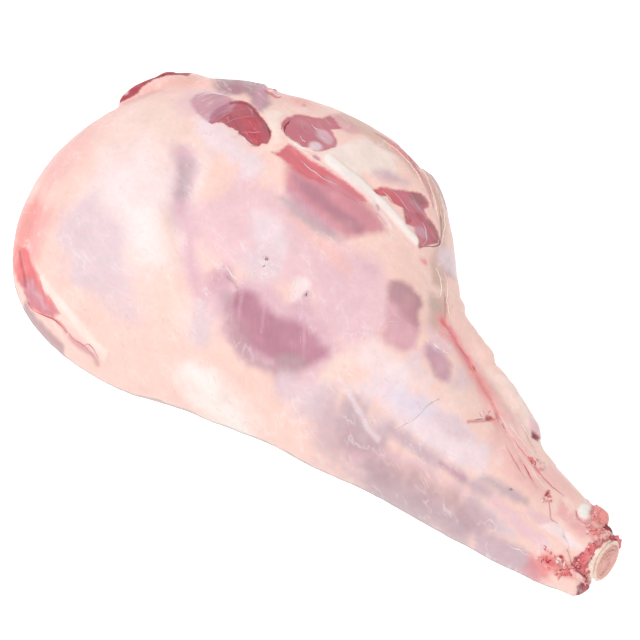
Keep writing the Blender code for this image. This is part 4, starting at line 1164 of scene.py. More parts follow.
@dataclass
class SkinPaint:
    """Paints and shapes skin from the drawn features.

    Attributes:
        wander: how far edges wander from their drawn line, mm.
    """

    wander: float = 0.8

    def facing(self, normals: np.ndarray, side: Side) -> np.ndarray:
        """How much each point belongs to the top or the underside, 0 to 1; the leg's top leans to -Y."""
        top = ease((normals @ np.array([0.21, -0.27, 0.94]) + 0.27) / 0.2)
        return top if side is Side.TOP else 1 - top

    def wandering(self, points: np.ndarray) -> np.ndarray:
        """The plan points, moved a little so that drawn edges turn ragged, and a cloudy number for each."""
        plan = points[:, :2].copy()
        for axis, seed in ((0, 11), (1, 23)):
            plan[:, axis] += self.wander * lattice_noise(points, 9.0, seed)
            plan[:, axis] += 0.6 * self.wander * lattice_noise(points, 3.2, seed + 5)
        streaks = points @ np.array([[0.28, 0.97, 0.0], [-0.07, 0.26, 0.0], [0.0, 0.0, 1.0]])
        cloud = lattice_noise(points, 12.0, 77) + 0.5 * lattice_noise(streaks, 3.6, 78)
        return np.column_stack([plan, cloud])

    def weight(self, patch: Patch, plan: np.ndarray, normals: np.ndarray) -> np.ndarray:
        """How strongly a patch covers each point, 0 to 1."""
        low, high = patch.box()
        near = np.all((plan[:, :2] > low) & (plan[:, :2] < high), axis=1)
        cover = np.zeros(len(plan))
        if near.any():
            cloud = 0.3 * min(1.0, patch.soft / 6) * plan[near, 2]
            cover[near] = ease(patch.depth(plan[near, :2]) / patch.soft + 0.5 + cloud)
        return cover * self.facing(normals, patch.side)

    def relief(self, points: np.ndarray, normals: np.ndarray) -> np.ndarray:
        """How far each point moves out along its normal, in mm."""
        plan = self.wandering(points)
        plan[:, 2] = 0
        move = 0.35 * lattice_noise(points, 14.0, 3) + 0.18 * lattice_noise(points, 5.0, 4)
        for patch in FEATURES:
            if patch.lift:
                move += patch.lift * self.weight(patch, plan, normals)
        for window in WINDOWS:
            depth = outline_depth(plan[:, :2], window.outline)
            inside = ease(depth / max(window.soft, 1.5) + 0.5) * self.facing(normals, window.side)
            move -= window.sink * inside
        return move

    def coat(self, piece: bpy.types.Object) -> None:
        """Writes what the skin's material reads on a piece, and gives it that material."""
        points, normals = read_points(piece), read_normals(piece)
        plan = self.wandering(points)
        coats = {Layer.COVER: np.tile(linear(Tone.PEACH_FAT.value), (len(points), 1)),
                 Layer.LEAN: np.tile(linear(Tone.ROSE_LEAN.value), (len(points), 1))}
        edge, bare = np.full(len(points), -1.0), np.zeros(len(points))
        fray, streaky = np.zeros(len(points)), np.zeros(len(points))
        grain = self.fibre_run(points[:, :2], -15.0)
        for window in WINDOWS:
            facing = self.facing(normals, window.side)
            depth = np.where(facing > 0.02, outline_depth(plan[:, :2], window.outline), -99.0)
            depth += 0.2 * window.soft * min(1.0, window.soft / 5) * plan[:, 2]
            reach = max(window.soft, 2.0)
            near = ease(depth / reach + 1.0)[:, None]
            coats[Layer.LEAN] += (np.array(linear(window.tone.value)) - coats[Layer.LEAN]) * near
            edge = np.maximum(edge, np.clip(depth / window.soft, -1, 1))
            bare = np.maximum(bare, window.bare * ease(depth / (2 * window.soft) + 1) * facing)
            inside = depth > -window.soft
            fray[inside] = min(1.0, 1.6 / window.soft)
            streaky[inside] = window.streaky
            grain[inside] = self.fibre_run(points[inside, :2], window.grain)
        for patch in FEATURES:
            cover = self.weight(patch, plan, normals)[:, None] * patch.strength
            coats[patch.layer] += (np.array(linear(patch.tone.value)) - coats[patch.layer]) * cover
        veil, mottle = lattice_noise(points, 7.0, 31), lattice_noise(points, 4.0, 32)
        bare *= 1 - 0.12 * np.clip(veil + 0.4 * mottle, 0, 1)
        coats[Layer.LEAN] *= (1 + 0.07 * mottle)[:, None]
        # painted contact shadow: grey along the rolled-under edge beside the table
        self.dusk(coats[Layer.COVER], normals)
        for name, values in (("cover_tone", coats[Layer.COVER]), ("lean_tone", coats[Layer.LEAN]),
                             ("lean_edge", edge), ("bare", bare), ("fray", fray), ("streaky", streaky),
                             ("grain", grain)):
            write_attribute(piece, name, values)
        piece.data.materials.append(SkinFinish().build())

    @staticmethod
    def dusk(cover: np.ndarray, normals: np.ndarray) -> None:
        """Paints shade on the rolled-under edge of the -Y side, beside the table: a grey painted contact shadow where
        the surface turns away.
        """
        tilt = normals @ np.array([0.21, -0.27, 0.94])
        under = ease((0.34 - tilt) / 0.18) * ease((tilt + 0.6) / 0.3)
        side = ease((-0.3 - normals[:, 1]) / 0.25)
        share = (0.85 * under * side)[:, None]
        cover += (np.array(linear(Tone.EDGE_GREY.value)) - cover) * share

    @staticmethod
    def fibre_run(plan: np.ndarray, degrees: float) -> np.ndarray:
        """Positions in metres along and across fibres that run at an angle to +X."""
        c, s = math.cos(math.radians(degrees)), math.sin(math.radians(degrees))
        along, across = plan @ np.array([c, s]), plan @ np.array([-s, c])
        return np.stack([along, across, np.zeros(len(plan))], axis=1) * MM


@dataclass
class LegSkin:
    """The whole outside of the meat: fat, fell and the lean that shows in it.

    Attributes:
        voxel: cell of the even mesh that the CAD leg is turned into, mm.
        smoothing: how many times that mesh is relaxed.
    """

    voxel: float = 2.15
    smoothing: int = 6

    def build(self) -> bpy.types.Object:
        """Makes the skin piece, shaped, painted and dressed."""
        skin = self.even_mesh()
        points, normals = read_points(skin), read_normals(skin)
        points += normals * SkinPaint().relief(points, normals)[:, None]
        points[:, 2] = np.maximum(points[:, 2], 0.0)
        write_points(skin, points)
        SkinPaint().coat(skin)
        select_only(skin)
        bpy.ops.object.shade_smooth()
        return skin

    def even_mesh(self) -> bpy.types.Object:
        """The CAD leg with its small lumps as one even mesh, twice as fine on top."""
        leg = copy_of_node("leg_meat", "leg_skin")
        surface = Surface([leg])
        skin = joined([leg] + [self.lump(lump, surface) for lump in LUMPS], "leg_skin")
        apply_modifier(skin, "REMESH", mode="VOXEL", voxel_size=self.voxel * plan_unit())
        apply_modifier(skin, "SMOOTH", factor=0.5, iterations=self.smoothing)
        up = read_normals(skin)[:, 2] > -0.25
        select_only(skin)
        skin.data.vertices.foreach_set("select", up)
        bpy.ops.object.mode_set(mode="EDIT")
        bpy.ops.mesh.select_mode(type="FACE")
        bpy.ops.mesh.subdivide(number_cuts=1, smoothness=0.0)
        bpy.ops.object.mode_set(mode="OBJECT")
        apply_modifier(skin, "SMOOTH", factor=0.5, iterations=4)
        return skin

    def lump(self, lump: Lump, surface: Surface) -> bpy.types.Object:
        """Makes one swelling, a ball squashed to its size and sunk in the leg."""
        for other in bpy.context.view_layer.objects:
            other.select_set(False)
        bpy.ops.mesh.primitive_uv_sphere_add(segments=32, ring_count=18, radius=1)
        ball = bpy.context.active_object
        ball.name = lump.name
        points = read_points(ball) * plan_unit() * np.array(lump.size)
        c, s = math.cos(math.radians(lump.turn)), math.sin(math.radians(lump.turn))
        points[:, :2] = points[:, :2] @ np.array([[c, s], [-s, c]])
        height = lump.level or surface.drop(*lump.place)[0].z - lump.sink
        write_points(ball, points + np.array([*lump.place, height]))
        return ball


@dataclass
class SkinStrands:
    """The cords, threads and lips that lie on the skin, as thin tapered tubes.

    Attributes:
        strands: what to make.
        name: the piece's name.
        step: spacing of the rings along each strand, mm.
        waver: how far a strand strays from its drawn route, mm.
        rough: how uneven its sides are, mm.
        wet: how strong its wet film is, 0 to 1.
    """

    strands: tuple[Strand, ...]
    name: str
    step: float = 0.9
    waver: float = 0.35
    rough: float = 0.15
    wet: float = 0.3

    def build(self, skin: Surface) -> bpy.types.Object:
        """Makes all the strands and joins them to one piece.

        Args:
            skin: what they lie on.

        Returns:
            The piece.
        """
        piece = joined([self.strand(strand, skin, i) for i, strand in enumerate(self.strands)], self.name)
        points = read_points(piece)
        rough = np.stack([lattice_noise(points, 1.3, 45 + k) for k in range(3)], axis=1)
        write_points(piece, points + self.rough * rough)
        piece.data.materials.append(StrandFinish(wet=self.wet).build())
        select_only(piece)
        bpy.ops.object.shade_smooth()
        return piece

    def strand(self, strand: Strand, skin: Surface, seed: int) -> bpy.types.Object:
        """Makes one strand: a bevelled curve laid on the skin, then a mesh."""
        plan = np.array(smooth_path(strand.path, self.step))
        for axis in (0, 1):
            plan[:, axis] += self.waver * lattice_noise(np.c_[plan, np.zeros(len(plan))], 3.0, 40 + seed * 2 + axis)
        curve = bpy.data.curves.new(strand.name, "CURVE")
        curve.dimensions, curve.bevel_resolution, curve.use_fill_caps = "3D", 1, True
        curve.bevel_depth = strand.width / 2 * plan_unit()
        spline = curve.splines.new("POLY")
        spline.points.add(len(plan) - 1)
        for i, (point, (x, y)) in enumerate(zip(spline.points, plan)):
            share = i / (len(plan) - 1)
            found = skin.drop(x, y) or skin.nearest(x, y, 32.0)
            place = Vector((x, y, strand.level)) if strand.level else found[0] + found[1] * strand.lift
            point.co = (*(place * plan_unit()), 1)
            point.radius = max(0.12, math.sin(math.pi * share) ** 0.45) * (0.85 + 0.3 * math.sin(7 * share + seed))
        made = bpy.data.objects.new(strand.name, curve)
        bpy.context.scene.collection.objects.link(made)
        select_only(made)
        bpy.ops.object.convert(target="MESH")
        made = bpy.context.active_object
        write_attribute(made, "tone", np.tile(linear(strand.tone.value), (len(made.data.vertices), 1)))
        return made


@dataclass
class TornRags:
    """Torn flaps and lumps of tissue on the skin.

    Attributes:
        rags: what to make.
        name: the piece's name.
        voxel: cell of their meshes, mm.
        rough: how uneven they are, mm.
    """

    rags: tuple[Rag, ...]
    name: str
    voxel: float = 0.5
    rough: float = 0.7

    def build(self, skin: Surface) -> bpy.types.Object:
        """Makes all the rags and joins them to one piece.

        Args:
            skin: what they lie on.

        Returns:
            The piece.
        """
        piece = joined([self.rag(rag, skin, i) for i, rag in enumerate(self.rags)], self.name)
        piece.data.materials.append(StrandFinish(wet=0.5).build())
        select_only(piece)
        bpy.ops.object.shade_smooth()
        return piece

    def rag(self, rag: Rag, skin: Surface, seed: int) -> bpy.types.Object:
        """Makes one rag: a filled outline, thickened, evened, laid on the skin and roughened."""
        curve = bpy.data.curves.new(rag.name, "CURVE")
        curve.dimensions, curve.fill_mode = "2D", "BOTH"
        curve.extrude = rag.thick / 4 * plan_unit()
        curve.bevel_depth, curve.bevel_resolution = rag.thick / 4 * plan_unit(), 2
        around = smooth_path(rag.outline, 0.5, closed=True)
        spline = curve.splines.new("POLY")
        spline.use_cyclic_u = True
        spline.points.add(len(around) - 1)
        for point, (x, y) in zip(spline.points, around):
            point.co = (x * plan_unit(), y * plan_unit(), 0, 1)
        made = bpy.data.objects.new(rag.name, curve)
        bpy.context.scene.collection.objects.link(made)
        select_only(made)
        bpy.ops.object.convert(target="MESH")
        made = bpy.context.active_object
        apply_modifier(made, "REMESH", mode="VOXEL", voxel_size=self.voxel * plan_unit())
        apply_modifier(made, "SMOOTH", factor=0.5, iterations=2)
        points = read_points(made)
        depth = outline_depth(points[:, :2], rag.outline)
        middle = points.mean(0)
        for i, (x, y, _) in enumerate(points.copy()):
            found = skin.drop(x, y) or skin.nearest(x, y, 45.0)
            if rag.level:
                points[i, 2] += rag.level + rag.slope[0] * (x - middle[0]) + rag.slope[1] * (y - middle[1])
            else:
                points[i, 2] += found[0].z
        noise = np.stack([lattice_noise(points + 7 * seed, 2.2, 60 + axis) for axis in range(3)], axis=1)
        fine = lattice_noise(points + 7 * seed, 1.1, 70)
        points += noise * self.rough * np.array([0.8, 0.8, 0.6]) + np.array([0, 0, 0.25]) * fine[:, None]
        write_points(made, points)
        inner, outer = np.array(linear(rag.tone.value)), np.array(linear(rag.edge_tone.value))
        share = ease(depth / 2.2 + 0.45 * noise[:, :1].ravel() + 0.3 * fine)[:, None]
        write_attribute(made, "tone", outer + (inner - outer) * share)
        return made


@dataclass
class BoneCuff:
    """The fell that still wraps the shin bone up to the saw cut.

    Attributes:
        start, end: where it comes out of the meat and where it ends, mm.
        reach: how far it wraps round the bone to each side of its top, degrees.
        thick: its thickness, mm.
        axis: the bone's middle in Y and Z and its radius, mm, at some places along X.
    """

    start: float = 153.0
    end: float = 179.4
    reach: float = 112.0
    thick: float = 1.1
    axis: tuple[tuple[float, float, float, float], ...] = (
        (150, -18.0, 32.2, 7.8), (160, -18.0, 32.1, 8.3), (168, -18.0, 32.7, 9.1), (172, -18.2, 33.2, 9.8),
        (176, -18.4, 34.4, 11.0), (180, -18.6, 35.4, 12.0), (184, -18.6, 36.2, 12.4), (192, -18.6, 36.6, 12.4))

    def around(self, x: np.ndarray, turn: np.ndarray, gap: np.ndarray) -> np.ndarray:
        """Points at a gap from the bone.

        Args:
            x: places along the leg, mm.
            turn: angles round the bone from its top, + towards +Y, radians.
            gap: distance out from the bone, mm.

        Returns:
            N by 3 positions, mm.
        """
        table = np.array(self.axis)
        y, z, radius = (np.interp(x, table[:, 0], table[:, k]) for k in (1, 2, 3))
        return np.stack([x, y + (radius + gap) * np.sin(turn), z + (radius + gap) * np.cos(turn)], axis=1)

    def edge(self, turn: np.ndarray) -> np.ndarray:
        """How far along the leg the cuff reaches at angles round the bone, mm; the saw cut slants."""
        return self.end + 2.1 * (1 - np.cos(turn)) + 0.4 * np.sin(turn)

    def build(self) -> bpy.types.Object:
        """Makes the cuff: a grid wrapped on the bone, torn at its end and thickened."""
        for other in bpy.context.view_layer.objects:
            other.select_set(False)
        bpy.ops.mesh.primitive_grid_add(x_subdivisions=36, y_subdivisions=60, size=2)
        cuff = bpy.context.active_object
        cuff.name = cuff.data.name = "bone_cuff"
        flat = read_points(cuff) * plan_unit()
        along, turn = (flat[:, 0] + 1) / 2, np.radians(self.reach) * flat[:, 1]
        tear = lattice_noise(np.stack([turn * 12, np.zeros(len(turn)), np.zeros(len(turn))], axis=1), 2.4, 81)
        end = self.edge(turn) + 0.9 * tear
        x = self.start + (end - self.start) * along
        gap = np.interp(x, (153, 160, 163, 165, 168, 172, 180), (4.2, 3.5, 2.5, 1.9, 1.4, 1.1, 1.0)) - self.thick
        points = self.around(x, turn, gap)
        gap += 0.25 * lattice_noise(points, 4.0, 82)
        write_points(cuff, self.around(points[:, 0], turn, gap))
        apply_modifier(cuff, "SOLIDIFY", thickness=self.thick * plan_unit(), offset=1.0)
        select_only(cuff)
        bpy.ops.object.mode_set(mode="EDIT")
        bpy.ops.mesh.select_all(action="SELECT")
        bpy.ops.mesh.normals_make_consistent(inside=False)
        bpy.ops.object.mode_set(mode="OBJECT")
        SkinPaint().coat(cuff)
        select_only(cuff)
        bpy.ops.object.shade_smooth()
        return cuff

    def collar(self) -> bpy.types.Object:
        """Makes the bloody, torn tissue between the cuff's end and the bone."""
        for other in bpy.context.view_layer.objects:
            other.select_set(False)
        bpy.ops.mesh.primitive_torus_add(major_segments=210, minor_segments=22, major_radius=1, minor_radius=0.2)
        ring = bpy.context.active_object
        ring.name = ring.data.name = "torn_collar"
        flat = read_points(ring) * plan_unit()
        turn = np.arctan2(flat[:, 1], flat[:, 0])
        out, up = (np.hypot(flat[:, 0], flat[:, 1]) - 1) / 0.2, flat[:, 2] / 0.2
        wide = 2.5 + 1.2 * lattice_noise(np.stack([turn * 4, turn * 0, turn * 0], axis=1), 2.4, 83)
        x = self.edge(turn) + 0.5 + wide * up
        points = self.around(x, turn, 0.4 + out * 1.25)
        rough = np.stack([lattice_noise(points, 1.9, 90 + k) for k in range(3)], axis=1)
        fine = np.stack([lattice_noise(points, 0.9, 95 + k) for k in range(3)], axis=1)
        points += (1.0 * rough + 0.6 * fine) * ease(out + 0.9)[:, None]
        write_points(ring, points)
        dark, red, pale = (np.array(linear(t.value)) for t in (Tone.DEEP_BLOOD, Tone.CORAL_RED, Tone.PALE_PEACH))
        share = ease(0.5 + 0.6 * rough[:, 1] + 0.4 * fine[:, 0])[:, None]
        tone = dark + (red - dark) * share
        high = ease(0.15 + 0.8 * rough[:, 2] + 0.4 * np.sin(turn))[:, None]
        write_attribute(ring, "tone", tone + (pale - tone) * high * 0.8)
        ring.data.materials.append(StrandFinish(wet=0.6).build())
        select_only(ring)
        bpy.ops.object.shade_smooth()
        return ring


# ------------------------------------------------------------------- finishes


def node(tree: bpy.types.NodeTree, kind: str, links: dict[Any, Any] | None = None, **settings: Any) -> bpy.types.Node:
    """Adds one node with its settings and the links into it.

    Args:
        tree: the material's node tree.
        kind: the node's type, such as "ShaderNodeMath".
        links: input name or number to an output socket, or to a plain value.
        settings: the node's own properties.

    Returns:
        The node.
    """
    made = tree.nodes.new(kind)
    for name, value in settings.items():
        setattr(made, name, value)
    for name, value in (links or {}).items():
        if isinstance(value, bpy.types.NodeSocket):
            tree.links.new(value, made.inputs[name])
        else:
            made.inputs[name].default_value = value
    return made


def empty_material(name: str) -> tuple[bpy.types.Material, bpy.types.NodeTree]:
    """A new material with nothing in its node tree but the output."""
    material = bpy.data.materials.new(name)
    material.use_nodes = True
    material.node_tree.nodes.clear()
    node(material.node_tree, "ShaderNodeOutputMaterial")
    return material, material.node_tree


@dataclass(frozen=True)
class SkinFinish:
    """Raw lamb: wet fat and fell over lean, with the muscle's own fibres where it shows.

    Attributes:
        exposure: what the drawn colours are multiplied by, so that they come out as drawn under the studio's light.
        bundle: spacing of the muscle's fibre bundles, mm; real ones are nearer 0.5 mm and would not show.
        lobule: size of the fat's lobules, mm.
    """

    exposure: float = 0.8
    bundle: float = 1.5
    lobule: float = 3.0

    def build(self) -> bpy.types.Material:
        """Makes the material."""
        material, tree = empty_material("raw_lamb_fat_and_lean")
        place = node(tree, "ShaderNodeTexCoord").outputs["Object"]
        cover = node(tree, "ShaderNodeAttribute", attribute_name="cover_tone").outputs["Color"]
        lean = node(tree, "ShaderNodeAttribute", attribute_name="lean_tone").outputs["Color"]
        edge = node(tree, "ShaderNodeAttribute", attribute_name="lean_edge").outputs["Fac"]
        bare = node(tree, "ShaderNodeAttribute", attribute_name="bare").outputs["Fac"]
        loose = node(tree, "ShaderNodeAttribute", attribute_name="fray").outputs["Fac"]
        streaky = node(tree, "ShaderNodeAttribute", attribute_name="streaky").outputs["Fac"]
        grain = node(tree, "ShaderNodeAttribute", attribute_name="grain").outputs["Vector"]

        # lobules and blotches of the fat: paler and pinker by a few per cent
        blotch = node(tree, "ShaderNodeTexNoise", {"Vector": place, "Scale": 1 / (14 * MM), "Detail": 4.0,
                                                   "Roughness": 0.55})
        fleck = node(tree, "ShaderNodeTexNoise", {"Vector": place, "Scale": 1 / (self.lobule * MM), "Detail": 3.0})
        mottle = node(tree, "ShaderNodeMapRange", {"Value": blotch.outputs["Fac"], "From Min": 0.3, "From Max": 0.7,
                                                   "To Min": 0.94, "To Max": 1.04})
        fine = node(tree, "ShaderNodeMapRange", {"Value": fleck.outputs["Fac"], "From Min": 0.3, "From Max": 0.7,
                                                 "To Min": 0.97, "To Max": 1.03})
        both = node(tree, "ShaderNodeMath", {0: mottle.outputs[0], 1: fine.outputs[0]}, operation="MULTIPLY")
        fat = node(tree, "ShaderNodeVectorMath", {0: cover, "Scale": both.outputs[0]}, operation="SCALE").outputs[0]
        fat = self.threads(tree, grain, blotch.outputs["Fac"], fat, seed=1.7, size=7.0, fine=0.03, much=0.4,
                           tone=(0.93, 0.86, 0.85, 1))
        fat = self.threads(tree, grain, fleck.outputs["Fac"], fat, seed=5.2, size=11.0, fine=0.014, much=0.35,
                           tone=(0.78, 0.36, 0.38, 1))

        # fibres: stretched noise along the grain, dark between bundles and pale where fat runs in
        run = node(tree, "ShaderNodeVectorMath", {0: grain, 1: (0.10, 1.0, 1.0)}, operation="MULTIPLY")
        fibre = node(tree, "ShaderNodeTexNoise", {"Vector": run.outputs[0], "Scale": 1 / (self.bundle * MM),
                                                  "Detail": 3.0, "Roughness": 0.6})
        shade = node(tree, "ShaderNodeMapRange", {"Value": fibre.outputs["Fac"], "From Min": 0.3, "From Max": 0.7,
                                                  "To Min": -0.26, "To Max": 0.26})
        strong = node(tree, "ShaderNodeMath", {0: shade.outputs[0], 1: streaky, 2: 1.0}, operation="MULTIPLY_ADD")
        muscle = node(tree, "ShaderNodeVectorMath", {0: lean, "Scale": strong.outputs[0]}, operation="SCALE")
        vein_run = node(tree, "ShaderNodeVectorMath", {0: grain, 1: (0.22, 1.0, 1.0)}, operation="MULTIPLY")
        vein = node(tree, "ShaderNodeTexNoise", {"Vector": vein_run.outputs[0], "Scale": 1 / (3.2 * MM),
                                                 "Detail": 4.0, "Roughness": 0.65})
        pale = node(tree, "ShaderNodeMapRange", {"Value": vein.outputs["Fac"], "From Min": 0.58, "From Max": 0.68,
                                                 "To Min": 0.0, "To Max": 0.6})
        threads = node(tree, "ShaderNodeMath", {0: pale.outputs[0], 1: streaky}, operation="MULTIPLY")
        marbled = node(tree, "ShaderNodeMix", {0: threads.outputs[0], 6: muscle.outputs[0], 7: (0.86, 0.55, 0.55, 1)},
                       data_type="RGBA")

        # where the cover ends: the drawn edge, frayed by a millimetre or so
        fray = node(tree, "ShaderNodeTexNoise", {"Vector": place, "Scale": 1 / (1.8 * MM), "Detail": 3.0})
        frayed = node(tree, "ShaderNodeMath", {0: fray.outputs["Fac"], 1: -0.5}, operation="ADD")
        rim = node(tree, "ShaderNodeMath", {0: frayed.outputs[0], 1: loose, 2: edge}, operation="MULTIPLY_ADD")
        open_ = node(tree, "ShaderNodeMapRange", {"Value": rim.outputs[0], "From Min": -0.5, "From Max": 0.5},
                     interpolation_type="SMOOTHSTEP")
        shown = node(tree, "ShaderNodeMath", {0: open_.outputs[0], 1: bare}, operation="MULTIPLY")
        tone = node(tree, "ShaderNodeMix", {0: shown.outputs[0], 6: fat, 7: marbled.outputs[2]},
                    data_type="RGBA")
        base = node(tree, "ShaderNodeVectorMath", {0: tone.outputs[2], "Scale": self.exposure}, operation="SCALE")

        # relief too fine to model: fibres in the lean, lobules in the fat
        grit = node(tree, "ShaderNodeMix", {0: shown.outputs[0], 2: fleck.outputs["Fac"], 3: fibre.outputs["Fac"]},
                    data_type="FLOAT")
        bump = node(tree, "ShaderNodeBump", {"Height": grit.outputs[0], "Strength": 0.35, "Distance": 0.0006})
        gloss = node(tree, "ShaderNodeMapRange", {"Value": blotch.outputs["Fac"], "From Min": 0.3, "From Max": 0.7,
                                                  "To Min": 0.46, "To Max": 0.62})
        shader = node(tree, "ShaderNodeBsdfPrincipled", {
            "Base Color": base.outputs[0], "Roughness": gloss.outputs[0], "IOR": 1.4, "Normal": bump.outputs[0],
            "Subsurface Weight": 0.12, "Subsurface Radius": (1.0, 0.35, 0.25), "Subsurface Scale": 0.004,
            "Coat Weight": 0.1, "Coat Roughness": 0.25, "Coat IOR": 1.33})
        tree.links.new(shader.outputs[0], tree.nodes["Material Output"].inputs["Surface"])
        return material

    @staticmethod
    def threads(tree: bpy.types.NodeTree, grain: bpy.types.NodeSocket, mask: bpy.types.NodeSocket,
                under: bpy.types.NodeSocket, seed: float, size: float, fine: float, much: float,
                tone: tuple[float, float, float, float]) -> bpy.types.NodeSocket:
        """Draws fine branching lines, such as fell threads or small vessels, over a colour.

        Args:
            tree: the material's node tree.
            grain: positions along and across the fibres.
            mask: noise that says where the lines show.
            under: the colour below them.
            seed: which of the endless patterns to take.
            size: the width of the meshes between the lines, mm.
            fine: the lines' width as a share of the noise's range.
            much: how strongly they show, 0 to 1.
            tone: their colour, linear.

        Returns:
            The colour with the lines on it.
        """
        run = node(tree, "ShaderNodeVectorMath", {0: grain, 1: (0.4, 1.0, 1.0)}, operation="MULTIPLY")
        web = node(tree, "ShaderNodeTexNoise", {"Vector": run.outputs[0], "W": seed, "Scale": 1 / (size * MM),
                                                "Detail": 3.0, "Roughness": 0.55, "Distortion": 0.4},
                   noise_dimensions="4D")
        far = node(tree, "ShaderNodeMath", {0: web.outputs["Fac"], 1: 0.5}, operation="SUBTRACT")
        gap = node(tree, "ShaderNodeMath", {0: far.outputs[0]}, operation="ABSOLUTE")
        line = node(tree, "ShaderNodeMapRange", {"Value": gap.outputs[0], "From Min": 0.0, "From Max": fine,
                                                 "To Min": much, "To Max": 0.0})
        where = node(tree, "ShaderNodeMapRange", {"Value": mask, "From Min": 0.48, "From Max": 0.62})
        share = node(tree, "ShaderNodeMath", {0: line.outputs[0], 1: where.outputs[0]}, operation="MULTIPLY")
        return node(tree, "ShaderNodeMix", {0: share.outputs[0], 6: under, 7: tone}, data_type="RGBA").outputs[2]


@dataclass(frozen=True)
class StrandFinish:
    """Wet connective tissue: tendon, membrane and torn lean.

    Attributes:
        exposure: what the drawn colours are multiplied by.
        wet: how strong its wet film is, 0 to 1.
    """

    exposure: float = 0.8
    wet: float = 0.3

    def build(self) -> bpy.types.Material:
        """Makes the material."""
        material, tree = empty_material("raw_lamb_membrane")
        place = node(tree, "ShaderNodeTexCoord").outputs["Object"]
        tone = node(tree, "ShaderNodeAttribute", attribute_name="tone").outputs["Color"]
        speck = node(tree, "ShaderNodeTexNoise", {"Vector": place, "Scale": 1 / (1.6 * MM), "Detail": 3.0})
        shade = node(tree, "ShaderNodeMapRange", {"Value": speck.outputs["Fac"], "From Min": 0.3, "From Max": 0.7,
                                                  "To Min": 0.9 * self.exposure, "To Max": 1.1 * self.exposure})
        base = node(tree, "ShaderNodeVectorMath", {0: tone, "Scale": shade.outputs[0]}, operation="SCALE")
        bump = node(tree, "ShaderNodeBump", {"Height": speck.outputs["Fac"], "Strength": 0.4, "Distance": 0.0004})
        shader = node(tree, "ShaderNodeBsdfPrincipled", {
            "Base Color": base.outputs[0], "Roughness": 0.4, "IOR": 1.4, "Normal": bump.outputs[0],
            "Subsurface Weight": 0.15, "Subsurface Radius": (1.0, 0.35, 0.25), "Subsurface Scale": 0.002,
            "Coat Weight": self.wet, "Coat Roughness": 0.15, "Coat IOR": 1.33})
        tree.links.new(shader.outputs[0], tree.nodes["Material Output"].inputs["Surface"])
        return material


@dataclass(frozen=True)
class BoneFinish:
    """Fresh sawn bone, cream at its hard rim, pink and spongy within, damp all over."""

    exposure: float = 0.8

    def build(self) -> bpy.types.Material:
        """Makes the material."""
        material, tree = empty_material("fresh_sawn_bone")
        place = node(tree, "ShaderNodeTexCoord").outputs["Object"]
        tone = node(tree, "ShaderNodeAttribute", attribute_name="tone").outputs["Color"]
        pore = node(tree, "ShaderNodeTexNoise", {"Vector": place, "Scale": 1 / (1.2 * MM), "Detail": 4.0})
        shade = node(tree, "ShaderNodeMapRange", {"Value": pore.outputs["Fac"], "From Min": 0.3, "From Max": 0.7,
                                                  "To Min": 0.86 * self.exposure, "To Max": 1.12 * self.exposure})
        base = node(tree, "ShaderNodeVectorMath", {0: tone, "Scale": shade.outputs[0]}, operation="SCALE")
        bump = node(tree, "ShaderNodeBump", {"Height": pore.outputs["Fac"], "Strength": 0.5, "Distance": 0.0004})
        shader = node(tree, "ShaderNodeBsdfPrincipled", {
            "Base Color": base.outputs[0], "Roughness": 0.42, "IOR": 1.5, "Normal": bump.outputs[0],
            "Subsurface Weight": 0.1, "Subsurface Radius": (1.0, 0.5, 0.35), "Subsurface Scale": 0.002,
            "Coat Weight": 0.2, "Coat Roughness": 0.2, "Coat IOR": 1.33})
        tree.links.new(shader.outputs[0], tree.nodes["Material Output"].inputs["Surface"])
        return material


